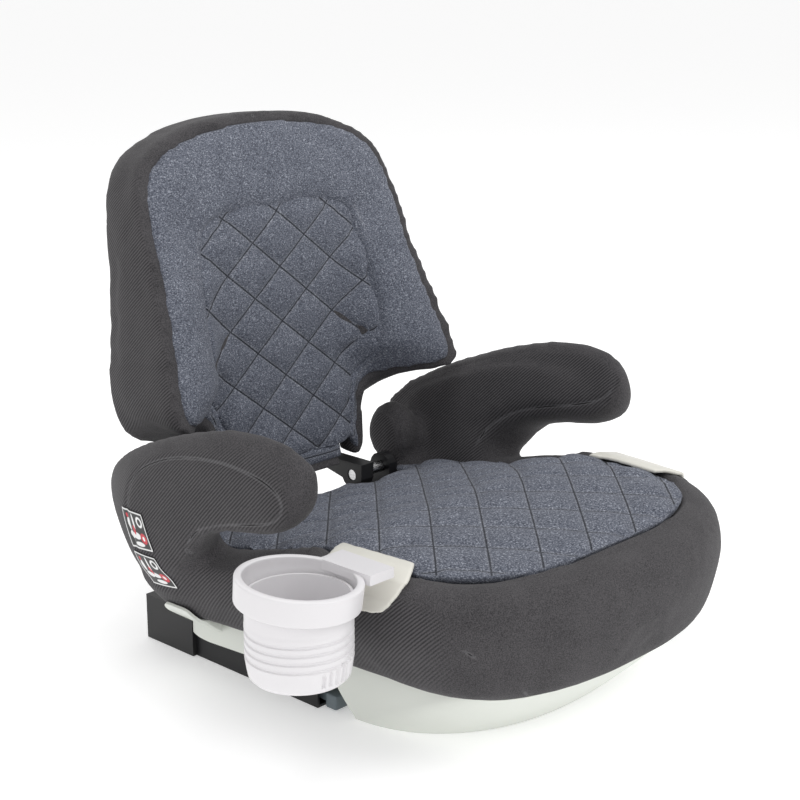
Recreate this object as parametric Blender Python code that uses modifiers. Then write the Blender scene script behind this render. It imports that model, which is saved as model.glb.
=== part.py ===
# Low-back booster seat: a white base with rear anchor connectors, an upholstered seat with two open armrests,
# a short hinged backrest, two belt guides and a lift-off cup holder.
# X runs to the child's left, -Y to the front and +Z up. The floor is Z = 0 and the seat is centred on X = 0.

from math import cos, hypot, pi, radians, sin

import bmesh
import bpy
import numpy as np
from mathutils import Matrix, Vector

MM = 0.001
GAP = 0.3 * MM
SOFT_GAP = 0.5 * MM

# Seat body
SHELL_TOP = 50 * MM
SHELL_WALL = 3 * MM
SIDE_HALF_WIDTH = 204 * MM
SEAT_REAR = 205 * MM
SEAT_FRONT = 231 * MM
REAR_SHOULDER = 95 * MM
REAR_POWER = 2.5
PANEL_HALF_WIDTH = 163 * MM
CUSHION_THICKNESS = 14 * MM
COVER_WALL = 12 * MM
PAN_THICKNESS = 4 * MM
FRONT_HEIGHT = 141 * MM

# Base
FOOT_HALF_WIDTH = 144 * MM
FOOT_FRONT = 162 * MM
FOOT_REAR = 57 * MM
FOOT_LEAN = 2 / 3
SKIRT_HALF_WIDTH = 160 * MM
SKIRT_BOTTOM = 24 * MM
SKIRT_REAR = 123 * MM
PLATE_LENGTH = 60 * MM
PLATE_THICKNESS = 3 * MM

# Rear anchor connectors
ANCHOR_SPACING = 280 * MM
RAIL_WIDTH = 22 * MM
RAIL_HEIGHT = 20 * MM
RAIL_WALL = 2 * MM
RAIL_FRONT = -22 * MM
HOUSING_FRONT = 126 * MM
HOUSING_REAR = 187 * MM
HOUSING_WIDTH = 30 * MM
HOUSING_HEIGHT = 40 * MM
HOUSING_WALL = 2.5 * MM
CASE_FRONT = HOUSING_FRONT + HOUSING_WALL + 3 * MM
BUTTON_Y = CASE_FRONT + 8 * MM
JAW_PIVOT_Y = 158 * MM
JAW_PIVOT_Z = 21 * MM
JAW_PIN_RADIUS = 2.5 * MM
PIN_CLEARANCE = 0.4 * MM
KNOB_TRAVEL = 4 * MM

# Backrest
HINGE_Y = 150 * MM
HINGE_Z = 105 * MM
PIN_RADIUS = 5 * MM
EAR_ROUND = 13 * MM
EAR_INNER = 60 * MM
EAR_OUTER = 76 * MM
BRACKET_INNER = 98 * MM
BRACKET_OUTER = 108 * MM
REST_BOTTOM = 118 * MM
REST_LEAN = 0.4
REST_PLANE_Y = 150 * MM
REST_WALL = 12 * MM
REST_PAD = 14 * MM
QUILT_THICKNESS = 8 * MM
BACK_PANEL = 4 * MM

# Armrests
ARM_OUTER = SIDE_HALF_WIDTH + 9 * MM
ARM_INNER = SIDE_HALF_WIDTH - 44 * MM
ARM_FLARE = 0.24
SEAT_REST_HEIGHT = 120 * MM
ARM_FRAME_INNER = SIDE_HALF_WIDTH - 21 * MM
ARM_FRAME_OUTER = SIDE_HALF_WIDTH - 13 * MM
ARM_FRAME_HALF_DEPTH = 9 * MM

# Cup holder
CUP_X = -SIDE_HALF_WIDTH - 41 * MM
CUP_Y = -103 * MM
CUP_TOP = 160 * MM
CUP_BOTTOM = 85 * MM
RING_OUTER = 46 * MM
RING_INNER = 39 * MM
RING_HEIGHT = 20 * MM
RING_SLANT = radians(5)
CUP_WALL = 2 * MM
GUIDE_THICKNESS = 3 * MM
HOOK_LENGTH = 52 * MM
HOOK_THICKNESS = 8 * MM
CUP_SLOTS = 6


def clear_scene():
    for item in list(bpy.data.objects):
        bpy.data.objects.remove(item, do_unlink=True)


def new_collection(name):
    made = bpy.data.collections.new(name)
    bpy.context.scene.collection.children.link(made)
    return made


clear_scene()
PARTS = new_collection("booster_seat")
CUTTERS = new_collection("cutters")


def material(name, colour, roughness, metallic=0.0):
    made = bpy.data.materials.new(name)
    made.use_nodes = True
    shader = made.node_tree.nodes["Principled BSDF"]
    shader.inputs["Base Color"].default_value = (*colour, 1)
    shader.inputs["Roughness"].default_value = roughness
    shader.inputs["Metallic"].default_value = metallic
    made.diffuse_color = (*colour, 1)
    return made


SHELL_WHITE = material("shell_white", (0.76, 0.78, 0.75), 0.45)
GUIDE_CREAM = material("guide_cream", (0.78, 0.76, 0.70), 0.4)
CUP_WHITE = material("cup_white", (0.79, 0.78, 0.80), 0.4)
CHARCOAL = material("charcoal_fabric", (0.065, 0.06, 0.065), 0.95)
MELANGE = material("melange_fabric", (0.16, 0.18, 0.22), 0.95)
FOAM = material("foam", (0.75, 0.75, 0.72), 0.9)
BLACK = material("black_plastic", (0.012, 0.012, 0.013), 0.5)
GLOSS_BLACK = material("gloss_black", (0.01, 0.01, 0.01), 0.15)
BLACK_STEEL = material("black_steel", (0.015, 0.015, 0.016), 0.45, 0.6)
STEEL = material("steel", (0.6, 0.6, 0.6), 0.3, 1.0)
KNOB_GREY = material("knob_grey", (0.10, 0.13, 0.16), 0.6)
LABEL = material("label", (0.6, 0.6, 0.6), 0.6)


def finish(name, mesh, look, sharp=40):
    # One mesh object in the parts collection, with its own copy of the material.
    made = bpy.data.objects.new(name, mesh)
    PARTS.objects.link(made)
    own = look.copy()
    own.name = name
    mesh.materials.clear()
    mesh.materials.append(own)
    mesh.shade_smooth()
    mesh.set_sharp_from_angle(angle=radians(sharp))
    return made


def mesh_from(bm, name):
    bmesh.ops.recalc_face_normals(bm, faces=bm.faces)
    mesh = bpy.data.meshes.new(name)
    bm.to_mesh(mesh)
    bm.free()
    return mesh


def bevel(item, width, segments=2):
    made = item.modifiers.new("rounded_edges", "BEVEL")
    made.width = width
    made.segments = segments
    made.limit_method = "ANGLE"
    made.angle_limit = radians(40)
    return item


def box(name, low, high, look, edge=0.0):
    bm = bmesh.new()
    bmesh.ops.create_cube(bm, size=1)
    size = Vector(high) - Vector(low)
    middle = (Vector(high) + Vector(low)) / 2
    bmesh.ops.scale(bm, vec=size, verts=bm.verts)
    made = finish(name, mesh_from(bm, name), look)
    made.location = middle
    if edge:
        bevel(made, edge)
    return made


def rod(name, radius, start, end, look, segments=20):
    # A cylinder between two points.
    start = Vector(start)
    end = Vector(end)
    bm = bmesh.new()
    bmesh.ops.create_cone(bm, cap_ends=True, segments=segments, radius1=radius, radius2=radius,
                          depth=(end - start).length)
    made = finish(name, mesh_from(bm, name), look)
    made.location = (start + end) / 2
    made.rotation_euler = (end - start).to_track_quat("Z", "Y").to_euler()
    return made


def turned(name, profile, centre, look, steps=32):
    # A profile of (radius, height) turned about Z, given down its outer side and back up its inner one.
    mesh = bpy.data.meshes.new(name)
    count = len(profile)
    edges = [(index, (index + 1) % count) for index in range(count)]
    mesh.from_pydata([(radius, 0, height) for radius, height in profile], edges, [])
    made = finish(name, mesh, look)
    made.location = centre
    screw = made.modifiers.new("turn", "SCREW")
    screw.axis = "Z"
    screw.steps = steps
    screw.render_steps = steps
    screw.use_merge_vertices = True
    screw.merge_threshold = 0.00001
    screw.use_smooth_shade = True
    return made


def slab(name, outline, low_x, high_x, look):
    # A flat outline of (y, z) points, extruded between two X planes.
    curve = bpy.data.curves.new(name, "CURVE")
    curve.dimensions = "2D"
    curve.fill_mode = "BOTH"
    curve.extrude = (high_x - low_x) / 2
    spline = curve.splines.new("POLY")
    spline.points.add(len(outline) - 1)
    for point, (y, z) in zip(spline.points, outline):
        point.co = (y, z, 0, 1)
    spline.use_cyclic_u = True
    drawn = bpy.data.objects.new(name + "_outline", curve)
    PARTS.objects.link(drawn)
    drawn.matrix_world = Matrix(((0, 0, 1, (low_x + high_x) / 2), (1, 0, 0, 0), (0, 1, 0, 0), (0, 0, 0, 1)))
    return as_mesh(name, drawn, look)


def as_mesh(name, drawn, look):
    # The mesh of a curve, with its caps welded, in the curve's own place.
    bpy.context.view_layer.update()
    graph = bpy.context.evaluated_depsgraph_get()
    mesh = bpy.data.meshes.new_from_object(drawn.evaluated_get(graph))
    bm = bmesh.new()
    bm.from_mesh(mesh)
    bmesh.ops.remove_doubles(bm, verts=bm.verts, dist=0.00001)
    bmesh.ops.dissolve_limit(bm, angle_limit=radians(0.5), verts=bm.verts, edges=bm.edges)
    bpy.data.meshes.remove(mesh)
    made = finish(name, mesh_from(bm, name), look)
    made.matrix_world = drawn.matrix_world
    bpy.data.objects.remove(drawn, do_unlink=True)
    return made


def loft(name, rings, look, closed=False, sharp=50):
    # Skin through rings with the same number of points. A closed loft joins its last ring to its first;
    # an open one ends in a fan of faces to each end ring's middle.
    bm = bmesh.new()
    grid = [[bm.verts.new(point) for point in ring] for ring in rings]
    count = len(grid[0])
    pairs = list(zip(grid, grid[1:]))
    if closed:
        pairs.append((grid[-1], grid[0]))
    for lower, upper in pairs:
        for index in range(count):
            after = (index + 1) % count
            bm.faces.new((lower[index], lower[after], upper[after], upper[index]))
    if not closed:
        for ring in (grid[0], grid[-1]):
            middle = sum((vert.co for vert in ring), Vector()) / count
            tip = bm.verts.new(middle)
            for index in range(count):
                bm.faces.new((ring[index], ring[(index + 1) % count], tip))
    bmesh.ops.triangulate(bm, faces=bm.faces)
    return finish(name, mesh_from(bm, name), look, sharp)


def cut(target, cutter, operation="DIFFERENCE", solver="EXACT"):
    # A cutter leaves the parts collection the first time it is used.
    if cutter.name in PARTS.objects:
        PARTS.objects.unlink(cutter)
        CUTTERS.objects.link(cutter)
        cutter.hide_render = True
        cutter.display_type = "WIRE"
    made = target.modifiers.new(cutter.name, "BOOLEAN")
    made.operation = operation
    made.object = cutter
    made.solver = solver
    return target


def through(points, count, closed=True):
    # Evenly spaced points on a smooth curve through hand-chosen ones (a Catmull-Rom spline).
    knots = np.array(points, float)
    if closed:
        knots = np.vstack((knots[-1], knots, knots[0], knots[1]))
    else:
        knots = np.vstack((2 * knots[0] - knots[1], knots, 2 * knots[-1] - knots[-2]))
    share = np.linspace(0, 1, 12, endpoint=False)[:, None]
    pieces = []
    for a, b, c, d in zip(knots, knots[1:], knots[2:], knots[3:]):
        pieces.append(b + 0.5 * share * (c - a + share * (2 * a - 5 * b + 4 * c - d
                                                           + share * (3 * (b - c) + d - a))))
    line = np.vstack(pieces + [knots[-2:-1]])
    length = np.concatenate(([0], np.cumsum(np.linalg.norm(np.diff(line, axis=0), axis=1))))
    wanted = np.linspace(0, length[-1], count, endpoint=not closed)
    return np.stack([np.interp(wanted, length, column) for column in line.T], axis=1)


def grown(outline, amount):
    # A closed outline moved outward along its own normals.
    ahead = np.roll(outline, -1, axis=0) - np.roll(outline, 1, axis=0)
    normal = np.stack((ahead[:, 1], -ahead[:, 0]), axis=1)
    normal /= np.linalg.norm(normal, axis=1)[:, None]
    turning = np.sum(outline[:, 0] * np.roll(outline[:, 1], -1) - outline[:, 1] * np.roll(outline[:, 0], -1))
    return outline + normal * amount * (1 if turning > 0 else -1)


# ---- Seat body ----

ARC_POINTS = 7
SIDE_POINTS = 7


def seat_edge_height(y):
    # Height of the seam between the side cover and the top panel, from the front to the rear.
    return np.interp(y, (-0.200, -0.130, -0.060, 0.000, 0.050, 0.100, 0.180),
                     (FRONT_HEIGHT, 0.146, 0.146, 0.130, 0.116, 0.108, 0.094))


def seat_top_height(y):
    # Height of the middle of the top panel.
    return np.interp(y, (-0.200, -0.150, -0.070, 0.000, 0.070, 0.134, 0.180),
                     (FRONT_HEIGHT, 0.149, 0.150, 0.135, 0.121, 0.106, 0.094))


def plan_half(side, rear, front_side, front_shoulder, front, front_power):
    # Half of a plan outline: a rounded rear, a straight tapering side and a rounded front.
    turns = np.linspace(0, pi / 2, ARC_POINTS)
    rear_x = side * np.sin(turns) ** (2 / REAR_POWER)
    rear_y = REAR_SHOULDER + (rear - REAR_SHOULDER) * np.cos(turns) ** (2 / REAR_POWER)
    front_x = front_side * np.cos(turns) ** (2 / front_power)
    front_y = front_shoulder - (front + front_shoulder) * np.sin(turns) ** (2 / front_power)
    side_x = np.linspace(side, front_side, SIDE_POINTS)[1:-1]
    side_y = np.linspace(REAR_SHOULDER, front_shoulder, SIDE_POINTS)[1:-1]
    return np.concatenate((rear_x, side_x, front_x)), np.concatenate((rear_y, side_y, front_y))


def whole(half_x, half_y):
    # Both halves of a plan outline, once round.
    return np.concatenate((half_x, -half_x[-2:0:-1])), np.concatenate((half_y, half_y[-2:0:-1]))


# Each level of the side cover: share of the height, then how far the rear half-width, the rear, the front
# half-width and the front stand inside the widest outline, the front corner's start and its squareness.
SEAT_LEVELS = (
    (0.00, 42 * MM, 24 * MM, 46 * MM, -150 * MM, 17 * MM, 2.4),
    (0.08, 22 * MM, 11 * MM, 22 * MM, -112 * MM, 7 * MM, 2.5),
    (0.33, 10 * MM, 4 * MM, 8 * MM, -100 * MM, 2 * MM, 2.6),
    (0.62, 1 * MM, 0 * MM, 0 * MM, -100 * MM, 0 * MM, 2.6),
    (0.84, 0 * MM, 0 * MM, 1 * MM, -98 * MM, 3 * MM, 2.6),
    (0.96, 10 * MM, 5 * MM, 9 * MM, -93 * MM, 15 * MM, 2.8),
    (1.00, 44 * MM, 18 * MM, 23 * MM, -87 * MM, 33 * MM, 3.0),
)
FRONT_HALF_WIDTH = PANEL_HALF_WIDTH + SEAT_LEVELS[-1][3]


def seat_ring(level, inset=0.0, height=None):
    # One ring of the seat body, moved inward by an inset. Its height follows the seam unless it is given.
    share, side, rear, front_side, shoulder, front, power = SEAT_LEVELS[level]
    half = plan_half(SIDE_HALF_WIDTH - side - inset, SEAT_REAR - rear - inset,
                     FRONT_HALF_WIDTH - front_side - inset, shoulder, SEAT_FRONT - front - inset, power)
    x, y = whole(*half)
    z = SHELL_TOP + GAP + share * (seat_edge_height(y) - SHELL_TOP)
    if height is not None:
        z = np.full_like(x, height)
    return np.stack((x, y, z), axis=1)


def panel_ring(share, drop, inset=0.0):
    # One ring of the top panel, from its seam (share 1) towards the middle, lowered by a drop.
    ring = seat_ring(len(SEAT_LEVELS) - 1, inset)
    middle_y = -0.01
    x = ring[:, 0] * share
    y = middle_y + (ring[:, 1] - middle_y) * share
    z = seat_top_height(y) + (seat_edge_height(ring[:, 1]) - seat_top_height(ring[:, 1])) * share ** 3
    return np.stack((x, y, z - drop), axis=1)


def top_face(drop, inset):
    return [panel_ring(share, drop, inset) for share in (1, 0.8, 0.55, 0.25)]


def build_seat():
    last = len(SEAT_LEVELS) - 1
    outer = [seat_ring(level) for level in range(last + 1)]
    inner_top = seat_ring(last, 1 * MM)
    inner_top[:, 2] -= 2 * MM
    shoulder = seat_ring(last, COVER_WALL)
    shoulder[:, 2] -= CUSHION_THICKNESS
    inner_bottom = seat_ring(0, COVER_WALL)
    side_cover = loft("seat_side_cover", outer + [inner_top, shoulder, inner_bottom], CHARCOAL, closed=True)

    foam_side = COVER_WALL + SOFT_GAP
    foam_bottom = seat_ring(0, foam_side + 1.5 * MM, SHELL_TOP + GAP + PAN_THICKNESS + GAP)
    foam = loft("seat_foam", [foam_bottom] + top_face(CUSHION_THICKNESS + SOFT_GAP, foam_side), FOAM)

    under = panel_ring(1, CUSHION_THICKNESS, COVER_WALL + SOFT_GAP)
    rim = seat_ring(last, 1 * MM + SOFT_GAP)
    rim[:, 2] -= 2 * MM
    faces = [panel_ring(share, CUSHION_THICKNESS, COVER_WALL + SOFT_GAP) for share in (0.25, 0.55, 0.8)]
    cushion = loft("seat_cushion", faces + [under, rim] + top_face(0, 2 * MM + SOFT_GAP), MELANGE)

    pan_low = seat_ring(0, foam_side + 1.5 * MM, SHELL_TOP + GAP)
    pan_high = seat_ring(0, foam_side + 1.5 * MM, SHELL_TOP + GAP + PAN_THICKNESS)
    loft("seat_pan", [pan_low, pan_high], BLACK)

    for number, (low_x, high_x, low_y) in enumerate(HINGE_POCKETS):
        pocket = box(f"hinge_pocket_{number}", (low_x, low_y, 72 * MM), (high_x, 0.25, 0.25), BLACK)
        for item in (side_cover, foam, cushion):
            cut(item, pocket)
    for side in (-1, 1):
        low, high = sorted((side * (BRACKET_INNER - SOFT_GAP), side * (BRACKET_OUTER + SOFT_GAP)))
        room = box(f"bracket_room_{side}", (low, HINGE_Y - EAR_ROUND - SOFT_GAP, SHELL_TOP + PAN_THICKNESS),
                   (high, HINGE_Y + EAR_ROUND + SOFT_GAP, 0.1), BLACK)
        cut(side_cover, room)
        cut(foam, room)
    return side_cover, foam


HINGE_POCKETS = (
    (-122 * MM, -57 * MM, 134 * MM),
    (-60 * MM, 60 * MM, 152 * MM),
    (57 * MM, 122 * MM, 134 * MM),
)


def surface_patch(name, levels, points, lift, thickness, look, mirrored=False):
    # A plate that follows the seat body between two levels and two points round it.
    rings = [ring[points[0]:points[1]] for ring in levels]
    grid = np.array(rings)
    across = np.gradient(grid, axis=0)
    along = np.gradient(grid, axis=1)
    normal = np.cross(along, across)
    normal /= np.linalg.norm(normal, axis=2)[:, :, None]
    middle = np.array((0, 0, 0.08))
    if np.sum(normal * (grid - middle)) < 0:
        normal = -normal
    bm = bmesh.new()
    side = -1 if mirrored else 1
    sheets = []
    for height in (lift, lift + thickness):
        sheet = grid + normal * height
        sheet[:, :, 0] *= side
        sheets.append([[bm.verts.new(point) for point in row] for row in sheet])
    rows, columns = grid.shape[:2]
    for sheet in sheets:
        for row in range(rows - 1):
            for column in range(columns - 1):
                bm.faces.new((sheet[row][column], sheet[row][column + 1], sheet[row + 1][column + 1],
                              sheet[row + 1][column]))
    low, high = sheets
    edge = [(0, column) for column in range(columns)]
    edge += [(row, columns - 1) for row in range(1, rows)]
    edge += [(rows - 1, column) for column in range(columns - 2, -1, -1)]
    edge += [(row, 0) for row in range(rows - 2, 0, -1)]
    for first, second in zip(edge, edge[1:] + edge[:1]):
        bm.faces.new((low[first[0]][first[1]], low[second[0]][second[1]],
                      high[second[0]][second[1]], high[first[0]][first[1]]))
    bmesh.ops.triangulate(bm, faces=bm.faces)
    return finish(name, mesh_from(bm, name), look)


# Outline of (y, z) cut from a belt guide's plate, which leaves a lobe that rises in a hollow curve to the front tip
GUIDE_HOLLOW = [(-170, 90), (-170, 152), (-147, 151), (-141, 148), (-138, 142), (-136, 135), (-132, 128), (-126, 122),
                (-117, 119), (-100, 118.5), (-50, 118), (-50, 90)]


def build_guides():
    # Each guide wraps from the top panel's edge over the front corner and a little down the side.
    last = len(SEAT_LEVELS) - 1
    inner = panel_ring(0.94, 0)
    levels = [seat_ring(3), seat_ring(4), seat_ring(5), seat_ring(last), inner]
    start = ARC_POINTS + SIDE_POINTS - 3
    outline = [(y * MM, z * MM) for y, z in GUIDE_HOLLOW]
    reach = SIDE_HALF_WIDTH + GUIDE_THICKNESS + 20 * MM
    for word in ("left", "right"):
        guide = surface_patch(f"belt_guide_{word}", levels, (start, start + 3), SOFT_GAP, GUIDE_THICKNESS,
                              GUIDE_CREAM, word == "right")
        cut(guide, slab(f"guide_hollow_{word}", outline, -reach, reach, GUIDE_CREAM))


def build_label():
    levels = [seat_ring(1), seat_ring(2), seat_ring(3)]
    surface_patch("side_label", levels, (ARC_POINTS - 3, ARC_POINTS + 1), SOFT_GAP, 0.6 * MM, LABEL, True)


# ---- Base ----

def base_rings(inset, low, high):
    # The foot's outline on the floor and the shell's rim under the side cover.
    rim = seat_ring(0, SHELL_WALL + inset, high)
    half = plan_half(SKIRT_HALF_WIDTH - inset, SEAT_REAR - 40 * MM - inset, FOOT_HALF_WIDTH - inset,
                     -50 * MM, FOOT_FRONT - inset, 2.25)
    x, y = whole(*half)
    return [np.stack((x, y, np.full_like(x, low)), axis=1), rim]


def build_base():
    shell = loft("base_shell", base_rings(0, 0, SHELL_TOP), SHELL_WHITE)
    hollow = loft("base_hollow", base_rings(SHELL_WALL, -1 * MM, SHELL_TOP - SHELL_WALL), SHELL_WHITE)
    lean = FOOT_LEAN * SKIRT_BOTTOM
    roof = SHELL_TOP - SHELL_WALL - 3 * MM
    behind = [(-FOOT_REAR - FOOT_LEAN * MM, -MM), (-FOOT_REAR + lean, SKIRT_BOTTOM),
              (SKIRT_REAR, SKIRT_BOTTOM), (SKIRT_REAR, roof), (0.25, roof), (0.25, -MM)]
    cut(shell, hollow)
    cut(shell, slab("base_open_rear", behind, -0.25, 0.25, SHELL_WHITE))
    inside = SHELL_TOP - SHELL_WALL / 2
    rib = [(-FOOT_REAR, 0), (-FOOT_REAR + FOOT_LEAN * inside, inside),
           (-FOOT_REAR + FOOT_LEAN * inside - SHELL_WALL, inside), (-FOOT_REAR - SHELL_WALL, 0)]
    half = FOOT_HALF_WIDTH - SHELL_WALL / 2
    cut(shell, slab("foot_rear_wall", rib, -half, half, SHELL_WHITE), "UNION")
    for side in (-1, 1):
        for number, y in enumerate(RAIL_SCREWS):
            hole = rod(f"screw_hole_{side}_{number}", 2.4 * MM, (side * ANCHOR_SPACING / 2, y, 40 * MM),
                       (side * ANCHOR_SPACING / 2, y, 52 * MM), STEEL, 12)
            cut(shell, hole)


RAIL_SCREWS = (30 * MM, 100 * MM)


# ---- Rear anchor connectors ----

def build_rail(side, word):
    centre = side * ANCHOR_SPACING / 2
    half = RAIL_WIDTH / 2
    rail = box(f"isofix_rail_{word}", (centre - half, RAIL_FRONT, 0),
               (centre + half, HOUSING_FRONT - GAP, RAIL_HEIGHT), BLACK_STEEL)
    inner = half - RAIL_WALL
    cut(rail, box(f"rail_bore_{word}", (centre - inner, -0.1, RAIL_WALL),
                  (centre + inner, 0.2, RAIL_HEIGHT - RAIL_WALL), BLACK_STEEL))
    shell_under = SHELL_TOP - SHELL_WALL
    for number, y in enumerate(RAIL_SCREWS):
        turned(f"rail_spacer_{word}_{number + 1}",
               [(7 * MM, shell_under - GAP), (7 * MM, RAIL_HEIGHT + GAP),
                (3 * MM, RAIL_HEIGHT + GAP), (3 * MM, shell_under - GAP)],
               (centre, y, 0), BLACK, 16)

    half = HOUSING_WIDTH / 2
    housing = box(f"isofix_housing_{word}", (centre - half, HOUSING_FRONT, 0),
                  (centre + half, HOUSING_REAR, HOUSING_HEIGHT), BLACK)
    inner_half = half - HOUSING_WALL
    cut(housing, box(f"housing_bore_{word}", (centre - inner_half, HOUSING_FRONT + HOUSING_WALL, HOUSING_WALL),
                     (centre + inner_half, 0.25, HOUSING_HEIGHT - HOUSING_WALL), BLACK))
    cut(housing, box(f"housing_mouth_{word}", (centre - inner, 0.1, RAIL_WALL),
                     (centre + inner, 0.14, RAIL_HEIGHT - RAIL_WALL), BLACK))


def build_connector(side, word):
    # The carriage slides in the rail and the housing; the jaw and its release button ride on it.
    centre = side * ANCHOR_SPACING / 2
    slide_gap = 0.7 * MM
    half = HOUSING_WIDTH / 2 - HOUSING_WALL - slide_gap
    low = HOUSING_WALL + slide_gap
    top = HOUSING_HEIGHT - HOUSING_WALL - 2 * MM
    front = CASE_FRONT
    rear = HOUSING_REAR - 1 * MM
    case = box(f"connector_case_{word}", (centre - half, front, low), (centre + half, rear, top), BLACK)
    slot = 4.6 * MM
    cut(case, box(f"jaw_slot_{word}", (centre - slot, JAW_PIVOT_Y - 9 * MM, low + 5 * MM),
                  (centre + slot, 0.2, 0.05), BLACK))
    cut(case, box(f"bar_notch_{word}", (centre - 0.02, JAW_PIVOT_Y + 8 * MM, 13 * MM),
                  (centre + 0.02, 0.2, 25.5 * MM), BLACK))
    bore = rod(f"jaw_bore_{word}", JAW_PIN_RADIUS + PIN_CLEARANCE, (centre - 0.02, JAW_PIVOT_Y, JAW_PIVOT_Z),
               (centre + 0.02, JAW_PIVOT_Y, JAW_PIVOT_Z), STEEL, 16)
    cut(case, bore)
    button_y = BUTTON_Y
    well = box(f"button_well_{word}", (centre - 6 * MM, button_y - 5 * MM, top - 16 * MM),
               (centre + 6 * MM, button_y + 5 * MM, 0.05), BLACK)
    cut(case, well)
    rod(f"jaw_pin_{word}", JAW_PIN_RADIUS, (centre - 11 * MM, JAW_PIVOT_Y, JAW_PIVOT_Z),
        (centre + 11 * MM, JAW_PIVOT_Y, JAW_PIVOT_Z), STEEL, 16)

    arm_half = RAIL_WIDTH / 2 - RAIL_WALL - 2 * MM
    box(f"connector_arm_{word}", (centre - arm_half, 5 * MM, RAIL_WALL + 2 * MM),
        (centre + arm_half, front - GAP, RAIL_HEIGHT - RAIL_WALL - 2 * MM), STEEL, 1 * MM)

    jaw = slab(f"connector_jaw_{word}", JAW_OUTLINE, centre - 4 * MM, centre + 4 * MM, STEEL)
    cut(jaw, bore)
    button_low = top - 7 * MM
    box(f"release_button_{word}", (centre - 5.5 * MM, button_y - 4.5 * MM, button_low),
        (centre + 5.5 * MM, button_y + 4.5 * MM, top + 1.2 * MM), KNOB_GREY, 0.8 * MM)
    build_spring(f"button_spring_{word}", (centre, button_y, top - 16 * MM + GAP), button_low - GAP)


JAW_OUTLINE = [(152 * MM, 14 * MM), (163 * MM, 14 * MM), (166.5 * MM, 22 * MM), (177 * MM, 22 * MM),
               (177 * MM, 17 * MM), (183 * MM, 15 * MM), (184 * MM, 26 * MM), (152 * MM, 26 * MM)]


def build_spring(name, foot, top):
    # A small compression spring standing on its foot.
    wire = 0.4 * MM
    turns = 4
    steps = 8
    curve = bpy.data.curves.new(name, "CURVE")
    curve.dimensions = "3D"
    curve.bevel_depth = wire
    curve.bevel_resolution = 1
    curve.use_fill_caps = True
    spline = curve.splines.new("POLY")
    count = turns * steps + 1
    spline.points.add(count - 1)
    low = foot[2] + wire
    rise = top - wire - low
    for index, point in enumerate(spline.points):
        turn = 2 * pi * index / steps
        height = low + rise * index / (count - 1)
        point.co = (foot[0] + 3.2 * MM * cos(turn), foot[1] + 3.2 * MM * sin(turn), height, 1)
    drawn = bpy.data.objects.new(name + "_path", curve)
    PARTS.objects.link(drawn)
    return as_mesh(name, drawn, STEEL)


def build_knob(side, word):
    centre = side * ANCHOR_SPACING / 2
    rear = RAIL_FRONT - KNOB_TRAVEL - 1 * MM
    knob = box(f"adjuster_knob_{word}", (centre - 7.5 * MM, rear - 12 * MM, 1.5 * MM),
               (centre + 7.5 * MM, rear, 14 * MM), KNOB_GREY, 1.5 * MM)
    stem = box(f"knob_stem_{word}", (centre - 4 * MM, rear - 4 * MM, 5 * MM),
               (centre + 4 * MM, 1 * MM - KNOB_TRAVEL, 11 * MM), KNOB_GREY)
    cut(knob, stem, "UNION")


def build_frame():
    half = ANCHOR_SPACING / 2 - RAIL_WIDTH / 2 - GAP
    plate = box("cross_plate", (-half, -PLATE_LENGTH / 2, 0), (half, PLATE_LENGTH / 2, PLATE_THICKNESS),
                BLACK_STEEL)
    for number, x in enumerate((-70 * MM, 70 * MM)):
        cut(plate, rod(f"plate_hole_{number}", 12 * MM, (x, 0, -MM), (x, 0, 5 * MM), STEEL, 24))
    half = ANCHOR_SPACING / 2 - HOUSING_WIDTH / 2 - GAP
    rod("rear_cross_tube", 8 * MM, (-half, 160 * MM, 14 * MM), (half, 160 * MM, 14 * MM), BLACK_STEEL, 20)
    for side, word in ((-1, "right"), (1, "left")):
        build_rail(side, word)
        build_connector(side, word)
        build_knob(side, word)


# ---- Armrests ----

# Outlines of (y, z) round the armrest's outer and inner side seams, from its rear foot over the top to the tip
# and back along the underside.
ARM_OUTER_SEAM = [(113, 106), (124, 126), (129, 150), (120, 173), (98, 189), (60, 202), (10, 208), (-33, 203),
                  (-49, 190), (-35, 175), (14, 163), (44, 151), (60, 134), (72, 116), (84, 110)]
ARM_INNER_SEAM = [(180, 104), (193, 122), (196, 144), (176, 166), (118, 191), (60, 213), (15, 225), (-29, 228),
                  (-55, 214), (-42, 192), (20, 174), (52, 162), (76, 145), (87, 126), (98, 110)]
ARM_SPINE = [(116, 80), (117, 105), (118, 142), (100, 165), (60, 181), (10, 190), (-30, 195)]
ARM_POINTS = 40


def scaled(points):
    return np.array(points, float) * MM


def band(spine, half_width):
    # A closed outline at a constant distance on both sides of a smooth line.
    line = through(scaled(spine), 14, closed=False)
    ahead = np.gradient(line, axis=0)
    normal = np.stack((-ahead[:, 1], ahead[:, 0]), axis=1) / np.linalg.norm(ahead, axis=1)[:, None]
    return np.vstack((line + normal * half_width, (line - normal * half_width)[::-1]))


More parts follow.
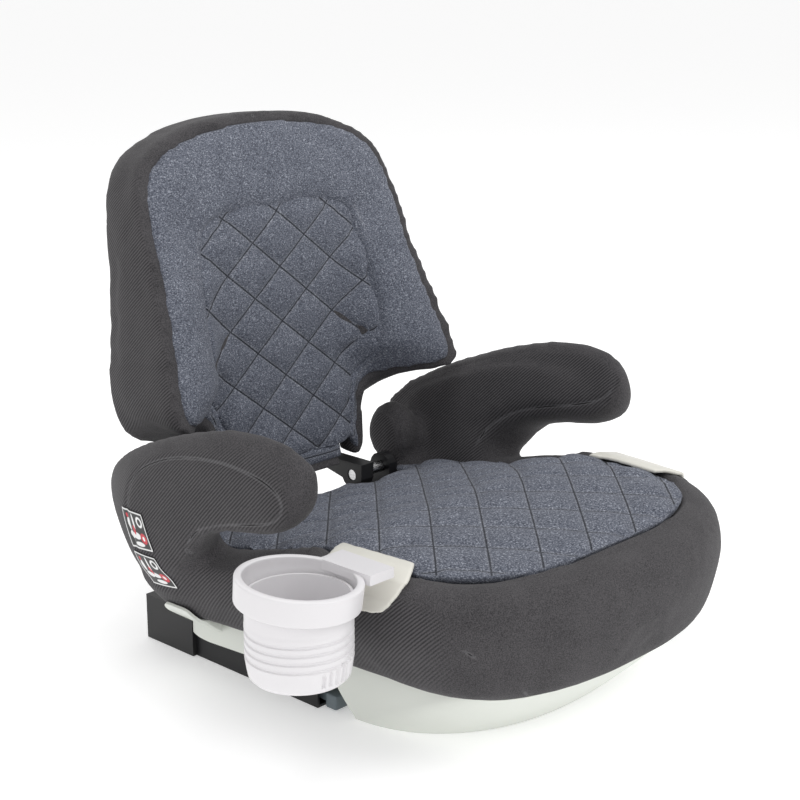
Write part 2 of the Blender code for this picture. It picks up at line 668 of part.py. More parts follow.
def build_armrest(side, word, seat_parts, keep_out):
    outer = through(scaled(ARM_OUTER_SEAM), ARM_POINTS)
    inner = through(scaled(ARM_INNER_SEAM), ARM_POINTS)
    rings = []
    for share, growth in ((0, 0), (0.05, 6 * MM), (0.2, 10 * MM), (0.5, 12 * MM), (0.8, 9 * MM),
                          (0.95, 5 * MM), (1, 0)):
        outline = grown(outer + (inner - outer) * share, growth)
        flare = ARM_INNER + ARM_FLARE * (outline[:, 1] - SEAT_REST_HEIGHT)
        x = side * (ARM_OUTER + (flare - ARM_OUTER) * share)
        rings.append(np.stack((x, *outline.T), axis=1))
    cover = loft(f"armrest_cover_{word}", rings, CHARCOAL)
    low, high = sorted((side * ARM_FRAME_INNER, side * ARM_FRAME_OUTER))
    frame = slab(f"armrest_frame_{word}", band(ARM_SPINE, ARM_FRAME_HALF_DEPTH), low, high, BLACK)
    foot_low = SHELL_TOP + 2 * GAP + PAN_THICKNESS
    foot_top = 82 * MM
    tie_bottom, tie_top = 74 * MM, 90 * MM
    x_low, x_high = sorted((side * (ARM_FRAME_INNER - 73 * MM), side * (ARM_FRAME_INNER - 33 * MM)))
    y_low, y_high = 108 * MM, 125 * MM
    tie_low, tie_high = sorted((side * (ARM_FRAME_INNER - 35 * MM), side * (ARM_FRAME_OUTER - 2 * MM)))
    foot = box(f"arm_foot_{word}", (x_low, y_low, foot_low), (x_high, y_high, foot_top), BLACK)
    tie = box(f"arm_tie_{word}", (tie_low, y_low, tie_bottom), (tie_high, y_high, tie_top), BLACK)
    cut(frame, tie, "UNION")
    cut(frame, foot, "UNION")
    room = SOFT_GAP
    slot = slab(f"arm_slot_{word}", grown(band(ARM_SPINE, ARM_FRAME_HALF_DEPTH), room), low - room, high + room, BLACK)
    foot_room = box(f"foot_room_{word}", (x_low - room, y_low - room, 0.04),
                    (x_high + room, y_high + room, foot_top + room), BLACK)
    tie_room = box(f"tie_room_{word}", (tie_low - room, y_low - room, tie_bottom - room),
                   (tie_high + room, y_high + room, tie_top + room), BLACK)
    cut(cover, keep_out, solver="MANIFOLD")
    cut(cover, slot)
    cut(cover, tie_room)
    for item in seat_parts[:2]:
        cut(item, slot)
        cut(item, foot_room)
        cut(item, tie_room)


def build_armrests(seat_parts):
    levels = range(len(SEAT_LEVELS))
    room = [seat_ring(level, -SOFT_GAP) for level in levels]
    top = [ring + (0, 0, SOFT_GAP) for ring in top_face(0, -SOFT_GAP)]
    keep_out = loft("seat_room", room + top, CHARCOAL)
    for side, word in ((-1, "right"), (1, "left")):
        build_armrest(side, word, seat_parts, keep_out)


# ---- Backrest ----

REST_CENTRE_Z = 270 * MM
REST_POINTS = 48
REST_SIDE = [(0, 437), (62, 433), (110, 420), (137, 399), (147, 366), (151, 317), (160, 257), (166, 220),
             (160, 203), (128, 192), (98, 180), (90, 155), (88, 128), (74, 118), (0, 118)]
REST_BACK_SIDE = [(0, 435), (61, 430), (107, 417), (132, 396), (143, 364), (148, 316), (155, 257), (162, 215),
                  (159, 182), (130, 168), (106, 159), (99, 146), (95, 131), (79, 120), (0, 120)]
QUILT_SIDE = [(0, 367), (50, 366), (84, 354), (97, 326), (102, 290), (105, 250), (101, 215), (84, 186),
              (76, 152), (66, 134), (0, 133)]


def mirrored_outline(side, count):
    half = scaled(side)
    other = half[-2:0:-1] * (-1, 1)
    return through(np.vstack((half, other)), count)


def rest_plane(z):
    return REST_PLANE_Y + REST_LEAN * (z - 0.3)


def rest_front(x, z):
    # The bucket: the middle lies well behind the plane of the wings low down, and meets it near the top.
    plane = rest_plane(z)
    middle = np.interp(z, (0.100, 0.180, 0.230, 0.300, 0.345, 0.380, 0.437),
                       (0.156, 0.168, 0.174, 0.177, 0.179, 0.184, 0.205))
    narrow = np.interp(z, (0.185, 0.225), (0.098, 0.060))
    share = np.clip((np.abs(x) - narrow) / 0.085, 0, 1)
    return middle + (plane - middle) * share * share * (3 - 2 * share)


def rest_back(z):
    return np.interp(z, (0.096, 0.150, 0.178, 0.200, 0.240, 0.310, 0.352, 0.437),
                     (0.186, 0.196, 0.205, 0.216, 0.227, 0.236, 0.241, 0.257))


def rest_ring(outline, growth, depth_of, share=1.0):
    # One ring of the backrest: its outline grown, shrunk to a share, and set at a depth.
    shape = grown(outline, growth)
    middle = np.array((0, REST_CENTRE_Z))
    shape = middle + (shape - middle) * share
    x, z = shape.T
    return np.stack((x, depth_of(x, z), z), axis=1)


def build_backrest():
    outline = mirrored_outline(REST_SIDE, REST_POINTS)

    def front(x, z):
        return rest_front(x, z)

    def back(x, z):
        return rest_back(z)

    def between(share):
        return lambda x, z: rest_front(x, z) * (1 - share) + rest_back(z) * share

    def behind(depth):
        return lambda x, z: rest_front(x, z) + depth

    def ahead(depth):
        return lambda x, z: rest_back(z) - depth

    rear = mirrored_outline(REST_BACK_SIDE, REST_POINTS)
    side = (outline + rear) / 2
    near_rear = outline * 0.15 + rear * 0.85
    outer = [rest_ring(outline, 0, front), rest_ring(outline, 1 * MM, behind(6 * MM)),
             rest_ring(side, 2 * MM, between(0.5)), rest_ring(rear, 1 * MM, ahead(5 * MM)),
             rest_ring(rear, -3 * MM, back)]
    inner = [rest_ring(rear, -7 * MM, ahead(1 * MM)), rest_ring(outline, -REST_WALL, behind(REST_PAD)),
             rest_ring(outline, -3 * MM, behind(3 * MM))]
    side_cover = loft("backrest_side_cover", outer + inner, CHARCOAL, closed=True)

    shares = (0.25, 0.45, 0.6, 0.75, 0.88)
    pad_wall = REST_WALL + SOFT_GAP
    pad_back = [rest_ring(outline, -pad_wall, behind(REST_PAD), share) for share in (*shares, 1)]
    pad_front = [rest_ring(outline, -3 * MM - SOFT_GAP, behind(3 * MM)),
                 rest_ring(outline, -4 * MM - SOFT_GAP, front)]
    pad_front += [rest_ring(outline, -4 * MM - SOFT_GAP, front, share) for share in shares[::-1]]
    cushion = loft("backrest_cushion", pad_back + pad_front, MELANGE)

    quilt_outline = mirrored_outline(QUILT_SIDE, 40)

    def quilt_rings(growth, lift, depth):
        low = [rest_ring(quilt_outline, growth, behind(depth), share) for share in (0.3, 0.55, 0.8, 1)]
        high = [rest_ring(quilt_outline, growth, behind(-lift), share) for share in (1, 0.8, 0.55, 0.3)]
        return low + high

    loft("backrest_quilt", quilt_rings(0, 1 * MM, QUILT_THICKNESS - SOFT_GAP), MELANGE)
    cut(cushion, loft("quilt_room", quilt_rings(SOFT_GAP, 12 * MM, QUILT_THICKNESS), MELANGE))

    foam_front = [rest_ring(outline, -pad_wall, behind(REST_PAD + SOFT_GAP), share) for share in (*shares, 1)]
    few = (0.35, 0.7)
    rim = 7 * MM + SOFT_GAP
    foam_back = [rest_ring(near_rear, -rim - 3 * MM, ahead(BACK_PANEL + SOFT_GAP), share)
                 for share in (1, *few[::-1])]
    foam = loft("backrest_foam", foam_front + foam_back, FOAM)

    panel_front = [rest_ring(near_rear, -rim - 2 * MM, ahead(BACK_PANEL), share) for share in (*few, 1)]
    panel_back = [rest_ring(rear, -rim, back, share) for share in (1, *few[::-1])]
    panel = loft("backrest_shell", panel_front + panel_back, BLACK)
    for side, word in ((-1, "right"), (1, "left")):
        build_hinge(side, word, panel, (side_cover, cushion, foam))
    build_back_screws(panel, foam)


def build_hinge(side, word, panel, pads):
    # The ear on the backrest turns on a pin that the seat's bracket carries.
    ear_round = EAR_ROUND
    turns = np.linspace(1.06 * pi, 1.88 * pi, 8)
    arc = [(HINGE_Y + ear_round * cos(turn), HINGE_Z + ear_round * sin(turn)) for turn in turns]
    rise = REST_BOTTOM - 1 * MM
    lap = REST_BOTTOM + REST_WALL + 6 * MM
    deep = float(rest_back(lap)) - 1.5 * MM
    ear_outline = arc + [(deep, HINGE_Z + 2 * MM), (deep, lap), (deep - 9 * MM, lap), (deep - 9 * MM, rise),
                         (HINGE_Y - ear_round, rise)]
    low, high = sorted((side * EAR_INNER, side * EAR_OUTER))
    ear = slab(f"hinge_ear_{word}", ear_outline, low, high, BLACK)
    cut(panel, ear, "UNION")
    room = grown(np.array(ear_outline), SOFT_GAP)
    ear_room = slab(f"ear_room_{word}", room, low - SOFT_GAP, high + SOFT_GAP, BLACK)
    for item in pads:
        cut(item, ear_room)
    bore = rod(f"hinge_bore_{word}", PIN_RADIUS + PIN_CLEARANCE, (side * 60 * MM, HINGE_Y, HINGE_Z),
               (side * 112 * MM, HINGE_Y, HINGE_Z), STEEL)
    cut(panel, bore)

    arc = [(HINGE_Y + ear_round * cos(turn), HINGE_Z + ear_round * sin(turn)) for turn in turns - pi]
    foot = SHELL_TOP + 2 * GAP + PAN_THICKNESS
    outline = arc + [(HINGE_Y - ear_round, foot), (HINGE_Y + ear_round, foot)]
    low, high = sorted((side * BRACKET_INNER, side * BRACKET_OUTER))
    bracket = slab(f"hinge_bracket_{word}", outline, low, high, BLACK_STEEL)
    cut(bracket, bore)
    rod(f"pivot_pin_{word}", PIN_RADIUS, (side * (EAR_INNER + 1 * MM), HINGE_Y, HINGE_Z),
        (side * (BRACKET_OUTER + 0.5 * MM), HINGE_Y, HINGE_Z), STEEL)
    cap_inner = BRACKET_OUTER + 0.5 * MM + GAP
    cap = rod(f"pivot_cap_{word}", 8.5 * MM, (side * cap_inner, HINGE_Y, HINGE_Z),
              (side * (cap_inner + 5 * MM), HINGE_Y, HINGE_Z), GLOSS_BLACK, 28)
    bevel(cap, 1.2 * MM, 1)
    socket = rod(f"cap_socket_{word}", 3.6 * MM, (side * (cap_inner + 2 * MM), HINGE_Y, HINGE_Z),
                 (side * (cap_inner + 9 * MM), HINGE_Y, HINGE_Z), STEEL)
    cut(cap, socket)
    rod(f"cap_screw_{word}", 3.2 * MM, (side * (cap_inner + 2 * MM + GAP), HINGE_Y, HINGE_Z),
        (side * (cap_inner + 4.6 * MM), HINGE_Y, HINGE_Z), STEEL, 20)


def build_back_screws(panel, foam):
    for number, (x, z) in enumerate(((-100, 240), (100, 240), (-95, 380), (95, 380))):
        x, z = x * MM, z * MM
        y = float(rest_back(z))
        slope = (float(rest_back(z + 0.01)) - float(rest_back(z - 0.01))) / 0.02
        out = Vector((0, 1, -slope)).normalized()
        middle = Vector((x, y, z))
        hole = rod(f"back_hole_{number}", 2.6 * MM, middle - out * 0.02, middle + out * 0.01, STEEL, 16)
        cut(panel, hole)
        cut(foam, hole)
        screw = rod(f"back_screw_{number + 1}", 2 * MM, middle - out * 0.015, middle + out * 1 * MM, STEEL, 12)
        head = rod(f"screw_head_{number}", 4.5 * MM, middle + out * 0.6 * MM, middle + out * 2.6 * MM, STEEL, 16)
        cut(screw, head, "UNION")


# ---- Cup holder ----

def build_cup_holder():
    centre = (CUP_X, CUP_Y, 0)
    tilt = Matrix.Rotation(RING_SLANT, 4, Vector((0.73, 0.69, 0)))
    low = CUP_TOP - RING_HEIGHT
    ring = turned("cup_ring", [(RING_OUTER - 1.5 * MM, RING_HEIGHT / 2), (RING_OUTER, RING_HEIGHT / 2 - 1.5 * MM),
                               (RING_OUTER, -RING_HEIGHT / 2 + 1.5 * MM),
                               (RING_OUTER - 1.5 * MM, -RING_HEIGHT / 2), (RING_INNER + 3 * MM, -RING_HEIGHT / 2),
                               (RING_INNER + 3 * MM, RING_HEIGHT / 2 - 4 * MM),
                               (RING_INNER + 1.5 * MM, RING_HEIGHT / 2)], centre, CUP_WHITE, 32)
    ring.matrix_world = Matrix.Translation((CUP_X, CUP_Y, low + RING_HEIGHT / 2)) @ tilt
    hook_low = float(seat_edge_height(CUP_Y)) + SOFT_GAP + GUIDE_THICKNESS + GAP
    reach = -FRONT_HALF_WIDTH + 3 * MM
    hook_y = CUP_Y - 7 * MM
    hook = box("cup_hook", (CUP_X + RING_OUTER - 4 * MM, hook_y - HOOK_LENGTH / 2, hook_low),
               (reach, hook_y + HOOK_LENGTH / 2, hook_low + HOOK_THICKNESS), CUP_WHITE)
    cut(ring, hook, "UNION")
    top_radius = 39.5 * MM
    low_radius = 37 * MM
    wall = CUP_WALL
    height = low + 8 * MM - CUP_BOTTOM
    profile = [(top_radius, height), (top_radius, height - 9 * MM)]
    for number in range(3):
        start = height - 14 * MM - number * 7 * MM
        profile += [(top_radius, start), (top_radius - 1 * MM, start - 1.5 * MM), (top_radius - 1 * MM, start - 4 * MM),
                    (top_radius, start - 5.5 * MM)]
    profile += [(low_radius + 0.5 * MM, 6 * MM), (low_radius - 4 * MM, 0), (0, 0), (0, wall),
                (low_radius - 5 * MM, wall), (low_radius - wall, 7 * MM),
                (top_radius - wall - 1 * MM, height)]
    cup = turned("cup_body", profile, (CUP_X, CUP_Y, CUP_BOTTOM), CUP_WHITE, 28)
    for number in range(CUP_SLOTS):
        turn = radians(-62 + number * 10)
        middle = Vector((CUP_X + 37 * MM * cos(turn), CUP_Y + 37 * MM * sin(turn), CUP_BOTTOM + 17 * MM))
        slot = box(f"cup_slot_{number}", (-5 * MM, -0.8 * MM, -8 * MM), (5 * MM, 0.8 * MM, 8 * MM), CUP_WHITE)
        slot.location = middle
        slot.rotation_euler = (0, 0, turn)
        cut(cup, slot)


# ---- Joint axes ----

def on_axis(name, point, nodes, parent=None):
    # An empty on a joint's axis carries the pieces that move there, with the cutters that only they use.
    pivot = bpy.data.objects.new(name, None)
    PARTS.objects.link(pivot)
    pivot.location = point
    bpy.context.view_layer.update()
    carried = [bpy.data.objects[node] for node in nodes]
    for cutter in CUTTERS.objects:
        users = [item for item in PARTS.objects
                 if cutter in [made.object for made in item.modifiers if made.type == "BOOLEAN"]]
        if users and all(item in carried for item in users):
            carried.append(cutter)
    for item in carried:
        item.parent = pivot
        item.matrix_parent_inverse = pivot.matrix_world.inverted()
    if parent:
        pivot.parent = parent
        pivot.matrix_parent_inverse = parent.matrix_world.inverted()
    return pivot


def set_axes():
    pads = ("shell", "foam", "side_cover", "cushion", "quilt")
    screws = [f"back_screw_{number}" for number in range(1, 5)]
    on_axis("backrest_hinge", (0, HINGE_Y, HINGE_Z), [f"backrest_{pad}" for pad in pads] + screws)
    for side, word in ((-1, "right"), (1, "left")):
        x = side * ANCHOR_SPACING / 2
        riders = ("connector_arm", "connector_case", "jaw_pin", "button_spring")
        carriage = on_axis(f"connector_slide_{word}", (x, HOUSING_REAR, RAIL_HEIGHT / 2),
                           [f"{rider}_{word}" for rider in riders])
        on_axis(f"jaw_hinge_{word}", (x, JAW_PIVOT_Y, JAW_PIVOT_Z), [f"connector_jaw_{word}"], carriage)
        on_axis(f"button_slide_{word}", (x, BUTTON_Y, HOUSING_HEIGHT), [f"release_button_{word}"], carriage)
        on_axis(f"knob_slide_{word}", (x, RAIL_FRONT, RAIL_HEIGHT / 2), [f"adjuster_knob_{word}"])
    on_axis("cup_lift", (CUP_X, CUP_Y, CUP_TOP), ["cup_ring", "cup_body"])


side_cover, foam = build_seat()
build_guides()
build_label()
build_base()
build_frame()
build_armrests((side_cover, foam))
build_backrest()
build_cup_holder()
set_axes()
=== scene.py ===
# Looks for a low-back booster seat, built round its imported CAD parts: stuffed fabric covers, moulded shells,
# a cup holder, belt guides, finishes for the metal and plastic parts, a studio floor, lights and a camera.

from math import cos, pi, radians, sin

import bmesh
import bpy
import numpy as np
from mathutils import Matrix, Vector


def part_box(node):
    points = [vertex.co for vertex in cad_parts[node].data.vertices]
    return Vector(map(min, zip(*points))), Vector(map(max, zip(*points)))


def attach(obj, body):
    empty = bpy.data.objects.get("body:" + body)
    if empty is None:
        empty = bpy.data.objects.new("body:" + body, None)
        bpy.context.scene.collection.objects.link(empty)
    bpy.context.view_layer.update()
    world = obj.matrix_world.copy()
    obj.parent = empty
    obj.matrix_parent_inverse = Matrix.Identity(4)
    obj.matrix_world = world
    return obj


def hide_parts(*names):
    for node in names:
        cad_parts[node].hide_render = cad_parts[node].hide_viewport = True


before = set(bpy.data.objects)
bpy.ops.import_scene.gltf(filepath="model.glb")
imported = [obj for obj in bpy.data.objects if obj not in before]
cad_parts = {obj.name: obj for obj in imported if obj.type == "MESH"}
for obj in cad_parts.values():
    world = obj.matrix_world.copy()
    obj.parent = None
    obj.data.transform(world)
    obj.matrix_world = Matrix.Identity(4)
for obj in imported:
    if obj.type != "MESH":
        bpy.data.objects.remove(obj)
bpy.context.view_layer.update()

mm = 0.001
scene = bpy.context.scene


def smoothTable(knots, values, at):
    # A monotone cubic through the knots: each span's end slopes are the harmonic mean of the slopes beside
    # them, or nothing where those slopes change sign.
    knots = np.asarray(knots, float)
    values = np.asarray(values, float)
    at = np.asarray(at, float)
    flat = values.ndim == 1
    if flat:
        values = values[:, None]
    step = np.diff(knots)
    slope = np.diff(values, axis=0) / step[:, None]
    before, after = slope[:-1], slope[1:]
    together = np.where(before * after > 0, before + after, 1)
    tangent = np.vstack((slope[:1], np.where(before * after > 0, 2 * before * after / together, 0),
                         slope[-1:]))
    place = np.clip(at.ravel(), knots[0], knots[-1])
    span = np.clip(np.searchsorted(knots, place) - 1, 0, len(step) - 1)
    width = step[span][:, None]
    t = (place[:, None] - knots[span][:, None]) / width
    result = (values[span] * (1 + 2 * t) * (1 - t) ** 2 + values[span + 1] * t ** 2 * (3 - 2 * t)
              + width * (tangent[span] * t * (1 - t) ** 2 - tangent[span + 1] * t ** 2 * (1 - t)))
    return result[:, 0].reshape(at.shape) if flat else result.reshape(at.shape + (values.shape[1],))


def smoothLine(points, count, closed=True):
    # Evenly spaced points on a Catmull-Rom curve: each span is the cubic through its ends whose end slopes
    # are half the step between the neighbours on either side.
    knots = np.array(points, float)
    if closed:
        knots = np.vstack((knots[-1], knots, knots[0], knots[1]))
    else:
        knots = np.vstack((2 * knots[0] - knots[1], knots, 2 * knots[-1] - knots[-2]))
    t = np.linspace(0, 1, 20, endpoint=False)[None, :, None]
    a, b, c, d = (knots[start:len(knots) - 3 + start][:, None, :] for start in range(4))
    spans = b + 0.5 * t * (c - a + t * (2 * a - 5 * b + 4 * c - d + t * (3 * (b - c) + d - a)))
    line = np.vstack((spans.reshape(-1, knots.shape[1]), knots[-2:-1]))
    length = np.concatenate(([0], np.cumsum(np.linalg.norm(np.diff(line, axis=0), axis=1))))
    wanted = np.linspace(0, length[-1], count, endpoint=not closed)
    return np.stack([np.interp(wanted, length, column) for column in line.T], axis=1)


def grown(outline, amount):
    # A closed outline moved outward along its own normals by an amount.
    ahead = np.roll(outline, -1, axis=0) - np.roll(outline, 1, axis=0)
    normal = np.stack((ahead[:, 1], -ahead[:, 0]), axis=1)
    normal /= np.linalg.norm(normal, axis=1)[:, None]
    turning = np.sum(outline[:, 0] * np.roll(outline[:, 1], -1) - outline[:, 1] * np.roll(outline[:, 0], -1))
    return outline + normal * amount * np.sign(turning)


def ease(value):
    # 0 to 1 along a smooth step.
    t = np.clip(value, 0, 1)
    return t * t * (3 - 2 * t)


def tidy(piece, smooth=True, sharp=None):
    # Faces point outwards, doubles are merged, and shading is smooth.
    bm = bmesh.new()
    bm.from_mesh(piece.data)
    bmesh.ops.remove_doubles(bm, verts=bm.verts, dist=0.00001)
    bmesh.ops.recalc_face_normals(bm, faces=bm.faces)
    bm.to_mesh(piece.data)
    bm.free()
    if smooth:
        piece.data.shade_smooth()
    if sharp:
        piece.data.set_sharp_from_angle(angle=radians(sharp))
    return piece


def surface(name, grid, wrapRows=False, wrapCols=True, caps=True, sharp=None):
    # Skin over a grid of points. Columns go once round, and the end rows are closed with one face each.
    rows, cols = grid.shape[:2]
    index = np.arange(rows * cols).reshape(rows, cols)
    low = index if wrapRows else index[:-1]
    high = np.roll(index, -1, 0) if wrapRows else index[1:]
    if wrapCols:
        quads = np.stack((low, np.roll(low, -1, 1), np.roll(high, -1, 1), high), axis=-1)
    else:
        quads = np.stack((low[:, :-1], low[:, 1:], high[:, 1:], high[:, :-1]), axis=-1)
    faces = quads.reshape(-1, 4).tolist()
    if caps and wrapCols and not wrapRows:
        faces += [index[0][::-1].tolist(), index[-1].tolist()]
    mesh = bpy.data.meshes.new(name)
    mesh.from_pydata(grid.reshape(-1, 3).tolist(), [], faces)
    piece = bpy.data.objects.new(name, mesh)
    scene.collection.objects.link(piece)
    return tidy(piece, sharp=sharp)


def settle(piece):
    # The piece's modifiers become its mesh.
    graph = bpy.context.evaluated_depsgraph_get()
    graph.update()
    mesh = bpy.data.meshes.new_from_object(piece.evaluated_get(graph))
    piece.modifiers.clear()
    spare = piece.data
    piece.data = mesh
    bpy.data.meshes.remove(spare)
    return piece


def placeOf(piece):
    place = np.empty(len(piece.data.vertices) * 3)
    piece.data.vertices.foreach_get("co", place)
    return place.reshape(-1, 3)


def moveTo(piece, place):
    piece.data.vertices.foreach_set("co", place.ravel())
    piece.data.update()
    return piece


def normalOf(piece):
    normal = np.empty(len(piece.data.vertices) * 3)
    piece.data.vertex_normals.foreach_get("vector", normal)
    return normal.reshape(-1, 3)


def blockOf(low, high, name="block"):
    corner = np.array([[x, y, z] for x in (0, 1) for y in (0, 1) for z in (0, 1)], float)
    place = np.array(low) + corner * (np.array(high) - np.array(low))
    faces = [(0, 1, 3, 2), (4, 6, 7, 5), (0, 4, 5, 1), (2, 3, 7, 6), (0, 2, 6, 4), (1, 5, 7, 3)]
    mesh = bpy.data.meshes.new(name)
    mesh.from_pydata(place.tolist(), [], faces)
    piece = bpy.data.objects.new(name, mesh)
    scene.collection.objects.link(piece)
    return tidy(piece, smooth=False)


def combine(piece, other, operation="DIFFERENCE", solver="EXACT"):
    # A Boolean with another mesh, which is used up.
    made = piece.modifiers.new("combine", "BOOLEAN")
    made.operation = operation
    made.solver = solver
    made.object = other
    settle(piece)
    bpy.data.objects.remove(other)
    return piece


def joined(name, pieces):
    # Several closed meshes as one.
    place = []
    faces = []
    start = 0
    for piece in pieces:
        place.append(placeOf(piece))
        faces += [[start + index for index in face.vertices] for face in piece.data.polygons]
        start += len(piece.data.vertices)
        bpy.data.objects.remove(piece)
    mesh = bpy.data.meshes.new(name)
    mesh.from_pydata(np.vstack(place).tolist(), [], faces)
    piece = bpy.data.objects.new(name, mesh)
    scene.collection.objects.link(piece)
    return piece


def relax(piece, rounds, share):
    # Each round moves a point part of the way to the mean of its neighbours.
    place = placeOf(piece)
    edges = np.empty(len(piece.data.edges) * 2, np.int64)
    piece.data.edges.foreach_get("vertices", edges)
    edges = edges.reshape(-1, 2)
    ends = np.concatenate((edges[:, 0], edges[:, 1]))
    others = np.concatenate((edges[:, 1], edges[:, 0]))
    count = np.maximum(np.bincount(ends, minlength=len(place)), 1)[:, None]
    share = np.broadcast_to(share, len(place))[:, None]
    for turn in range(rounds):
        total = np.stack([np.bincount(ends, place[others, axis], len(place)) for axis in range(3)], axis=1)
        place = place + share * (total / count - place)
    return moveTo(piece, place)


def evened(piece, voxel):
    # The same solid with small even faces.
    even = piece.modifiers.new("even", "REMESH")
    even.mode = "VOXEL"
    even.voxel_size = voxel
    even.use_smooth_shade = True
    return settle(piece)


clothFrames = 20
keptInward = 0.25


def stuffed(piece, voxel, cap, hold=None):
    # Even faces, then cloth under pressure for some frames. A point keeps its move up to about the cap:
    # cap times tanh(move / cap). Of a move inward it keeps a quarter, so that edges stay out where they were
    # sewn. hold(place) gives the share of the move that each point keeps.
    evened(piece, voxel)
    outward = normalOf(piece)
    place = placeOf(piece)
    cloth = piece.modifiers.new("swell", "CLOTH")
    cloth.settings.use_pressure = True
    cloth.settings.uniform_pressure_force = 4
    cloth.settings.effector_weights.gravity = 0
    cloth.settings.quality = 4
    cloth.point_cache.frame_start = 1
    cloth.point_cache.frame_end = clothFrames
    for step in range(1, clothFrames + 1):
        scene.frame_set(step)
    settle(piece)
    scene.frame_set(1)
    move = placeOf(piece) - place
    inward = np.minimum(np.sum(move * outward, axis=1), 0)[:, None]
    move = move - (1 - keptInward) * inward * outward
    length = np.maximum(np.linalg.norm(move, axis=1), 1e-9)[:, None]
    move = move * cap * np.tanh(length / cap) / length
    if hold:
        move = move * hold(place)[:, None]
    moveTo(piece, place + move)
    finer = piece.modifiers.new("finer", "SUBSURF")
    finer.levels = 1
    finer.render_levels = 1
    settle(piece)
    piece.data.shade_smooth()
    print("stuffed", piece.name, len(piece.data.vertices))
    return piece


def note(piece, name, values):
    # A value for each point, which a material reads.
    made = piece.data.attributes.new(name, "FLOAT", "POINT")
    made.data.foreach_set("value", np.asarray(values, np.float32))


def sewn(piece, lines, depth, width, where=None):
    # A valley along each line, depth * exp(-(distance / width)^2) straight into the piece, and for the
    # material the way from the nearest line to each point. A closed line ends where it starts.
    place = placeOf(piece)
    away = np.full_like(place, 1.0)
    best = np.full(len(place), 1.0)
    for line in lines:
        line = np.asarray(line, float)
        for start, end in zip(line, line[1:]):
            along = end - start
            t = np.clip((place - start) @ along / max(along @ along, 1e-12), 0, 1)
            offset = place - start - t[:, None] * along
            length = np.linalg.norm(offset, axis=1)
            nearer = length < best
            away[nearer] = offset[nearer]
            best[nearer] = length[nearer]
    share = 1.0 if where is None else where(place)
    made = piece.data.attributes.new("seamAway", "FLOAT_VECTOR", "POINT")
    made.data.foreach_set("vector", away.astype(np.float32).ravel())
    note(piece, "seamNear", ease((0.006 - best) / 0.003) * share)
    valley = depth * np.exp(-(best / width) ** 2) * share
    moveTo(piece, place - normalOf(piece) * valley[:, None])


def closedLine(points):
    return np.vstack((points, points[:1]))


def linear(*srgb):
    # Screen colour, 0 to 255, as light.
    value = np.array(srgb) / 255
    return (*np.where(value < 0.04045, value / 12.92, ((value + 0.055) / 1.055) ** 2.4), 1)


class Graph:
    # Short ways to add and join a tree's nodes.
    def __init__(self, tree):
        self.tree = tree

    def add(self, kind, settings=None, **inputs):
        node = self.tree.nodes.new(kind)
        for name, value in (settings or {}).items():
            setattr(node, name, value)
        for name, value in inputs.items():
            self.put(node, name.replace("_", " "), value)
        return node

    def put(self, node, name, value):
        socket = node.inputs[int(name[1:])] if name[:1] == "i" and name[1:].isdigit() else node.inputs[name]
        if isinstance(value, bpy.types.NodeSocket):
            self.tree.links.new(value, socket)
        else:
            socket.default_value = value

    def sum(self, operation, first, second=0.0, clamp=False):
        return self.add("ShaderNodeMath", {"operation": operation, "use_clamp": clamp}, i0=first,
                        i1=second).outputs[0]

    def ramp(self, value, low, high, start=0.0, end=1.0):
        return self.add("ShaderNodeMapRange", {"interpolation_type": "SMOOTHSTEP"}, Value=value, From_Min=low,
                        From_Max=high, To_Min=start, To_Max=end).outputs[0]

    def blend(self, share, first, second, how="MIX"):
        node = self.add("ShaderNodeMix", {"data_type": "RGBA", "blend_type": how})
        self.put(node, "i0", share)
        self.put(node, "i6", first)
        self.put(node, "i7", second)
        return node.outputs[2]

    def noise(self, vector, scale, detail=2.0, roughness=0.5):
        return self.add("ShaderNodeTexNoise", None, Vector=vector, Scale=scale, Detail=detail,
                        Roughness=roughness).outputs["Fac"]

    def attribute(self, name):
        return self.add("ShaderNodeAttribute", {"attribute_name": name}).outputs["Fac"]


def newGroup(name, inputs, outputs):
    # A node group with named sockets.
    tree = bpy.data.node_groups.new(name, "ShaderNodeTree")
    for socket, kind, value in inputs:
        made = tree.interface.new_socket(socket, in_out="INPUT", socket_type="NodeSocket" + kind)
        if value is not None:
            made.default_value = value
    for socket, kind in outputs:
        tree.interface.new_socket(socket, in_out="OUTPUT", socket_type="NodeSocket" + kind)
    return tree, tree.nodes.new("NodeGroupInput").outputs, tree.nodes.new("NodeGroupOutput")


def speckleGroup():
    # Melange yarn: flecks of three greys, a little longer across than up, with fine fibre between them.
    tree, given, out = newGroup("melangeYarn",
                                [("Vector", "Vector", None), ("Fleck Scale", "Float", 900.0),
                                 ("Dark", "Color", None), ("Middle", "Color", None),
                                 ("Light", "Color", None)],
                                [("Color", "Color"), ("Height", "Float")])
    g = Graph(tree)
    stretched = g.add("ShaderNodeMapping", None, Vector=given["Vector"], Scale=(0.75, 0.75, 1.15)).outputs[0]
    fleck = g.noise(stretched, given["Fleck Scale"], 2.5, 0.65)
    fibre = g.noise(given["Vector"], g.sum("MULTIPLY", given["Fleck Scale"], 2.6), 1.0)
    cloud = g.noise(given["Vector"], 34.0, 3.0)
    mixed = g.sum("ADD", g.sum("MULTIPLY", fleck, 0.72), g.sum("MULTIPLY", fibre, 0.28))
    lifted = g.sum("ADD", mixed, g.sum("MULTIPLY", g.sum("SUBTRACT", cloud, 0.5), 0.06))
    lower = g.blend(g.ramp(lifted, 0.36, 0.53), given["Dark"], given["Middle"])
    colour = g.blend(g.ramp(lifted, 0.52, 0.68), lower, given["Light"])
    tree.links.new(colour, out.inputs["Color"])
    tree.links.new(mixed, out.inputs["Height"])
    return tree


